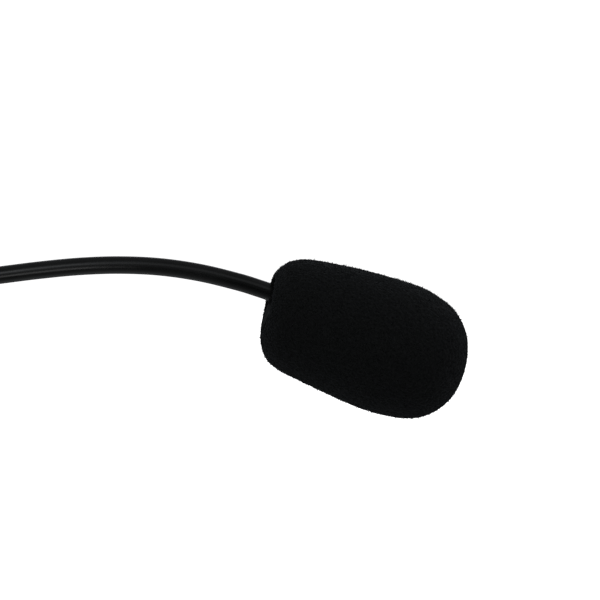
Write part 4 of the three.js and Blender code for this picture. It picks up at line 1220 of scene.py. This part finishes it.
def panel(az, el, half_w, half_h, soft, strength, lean=0.0):
    """A soft panel of light in the room around the object, given by its direction and half-angles."""
    c = toward(az, el)
    h = unit(np.cross(Z, c))
    v = np.cross(c, h)
    l = math.radians(lean)
    h, v = h * math.cos(l) + v * math.sin(l), v * math.cos(l) - h * math.sin(l)
    u = math_node(wn, "ABSOLUTE", wvec("DOT_PRODUCT", sky, h), 0.0)
    w = math_node(wn, "ABSOLUTE", wvec("DOT_PRODUCT", sky, v), 0.0)
    ahead = math_node(wn, "GREATER_THAN", wvec("DOT_PRODUCT", sky, c), 0.0)
    a, b = math.sin(math.radians(half_w)), math.sin(math.radians(half_h))
    m = math_node(wn, "MULTIPLY", wrange(u, a * (1 - soft), a * (1 + soft), 1.0, 0.0), wrange(w, b * (1 - soft), b * (1 + soft), 1.0, 0.0))
    return math_node(wn, "MULTIPLY", math_node(wn, "MULTIPLY", m, ahead), strength)


glow = None
for p in PANELS:
    q = panel(*p)
    glow = q if glow is None else math_node(wn, "ADD", glow, q)
height = wvec("DOT_PRODUCT", sky, (0, 0, 1))
level = wn.nodes.new("ShaderNodeFloatCurve")
curve = level.mapping.curves[0]
while len(curve.points) < len(ROOM):
    curve.points.new(0.5, 0.5)
for point, (h, v) in zip(curve.points, ROOM):
    point.location = (h / 2 + 0.5, v)
level.mapping.update()
wn.links.new(math_node(wn, "MULTIPLY_ADD", height, 0.5), level.inputs["Value"])
glow = math_node(wn, "ADD", glow, level.outputs[0])
room = wn.nodes.new("ShaderNodeBackground")
room.inputs["Color"].default_value = (0.94, 0.97, 1.0, 1)
wn.links.new(glow, room.inputs["Strength"])
backdrop = wn.nodes["Background"]
backdrop.inputs["Color"].default_value = (1, 1, 1, 1)
backdrop.inputs["Strength"].default_value = 1.1
lp = wn.nodes.new("ShaderNodeLightPath")
mixw = wn.nodes.new("ShaderNodeMixShader")
wn.links.new(lp.outputs["Is Camera Ray"], mixw.inputs[0])
wn.links.new(room.outputs[0], mixw.inputs[1])
wn.links.new(backdrop.outputs[0], mixw.inputs[2])
wn.links.new(mixw.outputs[0], wn.nodes["World Output"].inputs["Surface"])



def diffuser(name, az, el, energy, angle):
    """Large soft light that fills the matt surfaces and leaves the glossy ones to the room."""
    d = bpy.data.lights.new(name, "SUN")
    d.energy = energy
    d.angle = math.radians(angle)
    o = bpy.data.objects.new(name, d)
    o.rotation_euler = Vector(toward(az, el)).to_track_quat("Z", "Y").to_euler()
    o.visible_glossy = False
    bpy.context.scene.collection.objects.link(o)


diffuser("upper_diffuser", 0, 64, 1.15, 70)
diffuser("lower_bounce", 12, -55, 1.0, 80)
diffuser("rear_bounce", 185, 15, 0.5, 80)
diffuser("right_bounce", 80, 22, 0.55, 60)
diffuser("left_bounce", -80, 15, 0.35, 60)

# a small white card in front of the boom's middle, low down
near = P0 - right * (241 / PX_PER_MM)
near = np.array([near[0], near[1], 0.0]) + Z * boom_at(BOOM_END - 42)[2]
card_dir = toward(9, -24)
card_data = bpy.data.lights.new("bounce_card", "AREA")
card_data.shape = "RECTANGLE"
card_data.size, card_data.size_y = 0.028, 0.020
card_data.energy = math.pi * 0.028 * 0.020 * 1.25
card = bpy.data.objects.new("bounce_card", card_data)
card.location = Vector(W(near + card_dir * 60))
card.rotation_euler = Vector(card_dir).to_track_quat("Z", "Y").to_euler()
card.visible_camera = False
bpy.context.scene.collection.objects.link(card)

bpy.context.scene.view_settings.view_transform = "Standard"
bpy.context.scene.view_settings.look = "None"
bpy.context.scene.view_settings.exposure = 0.0
bpy.context.scene.view_settings.gamma = 1.0
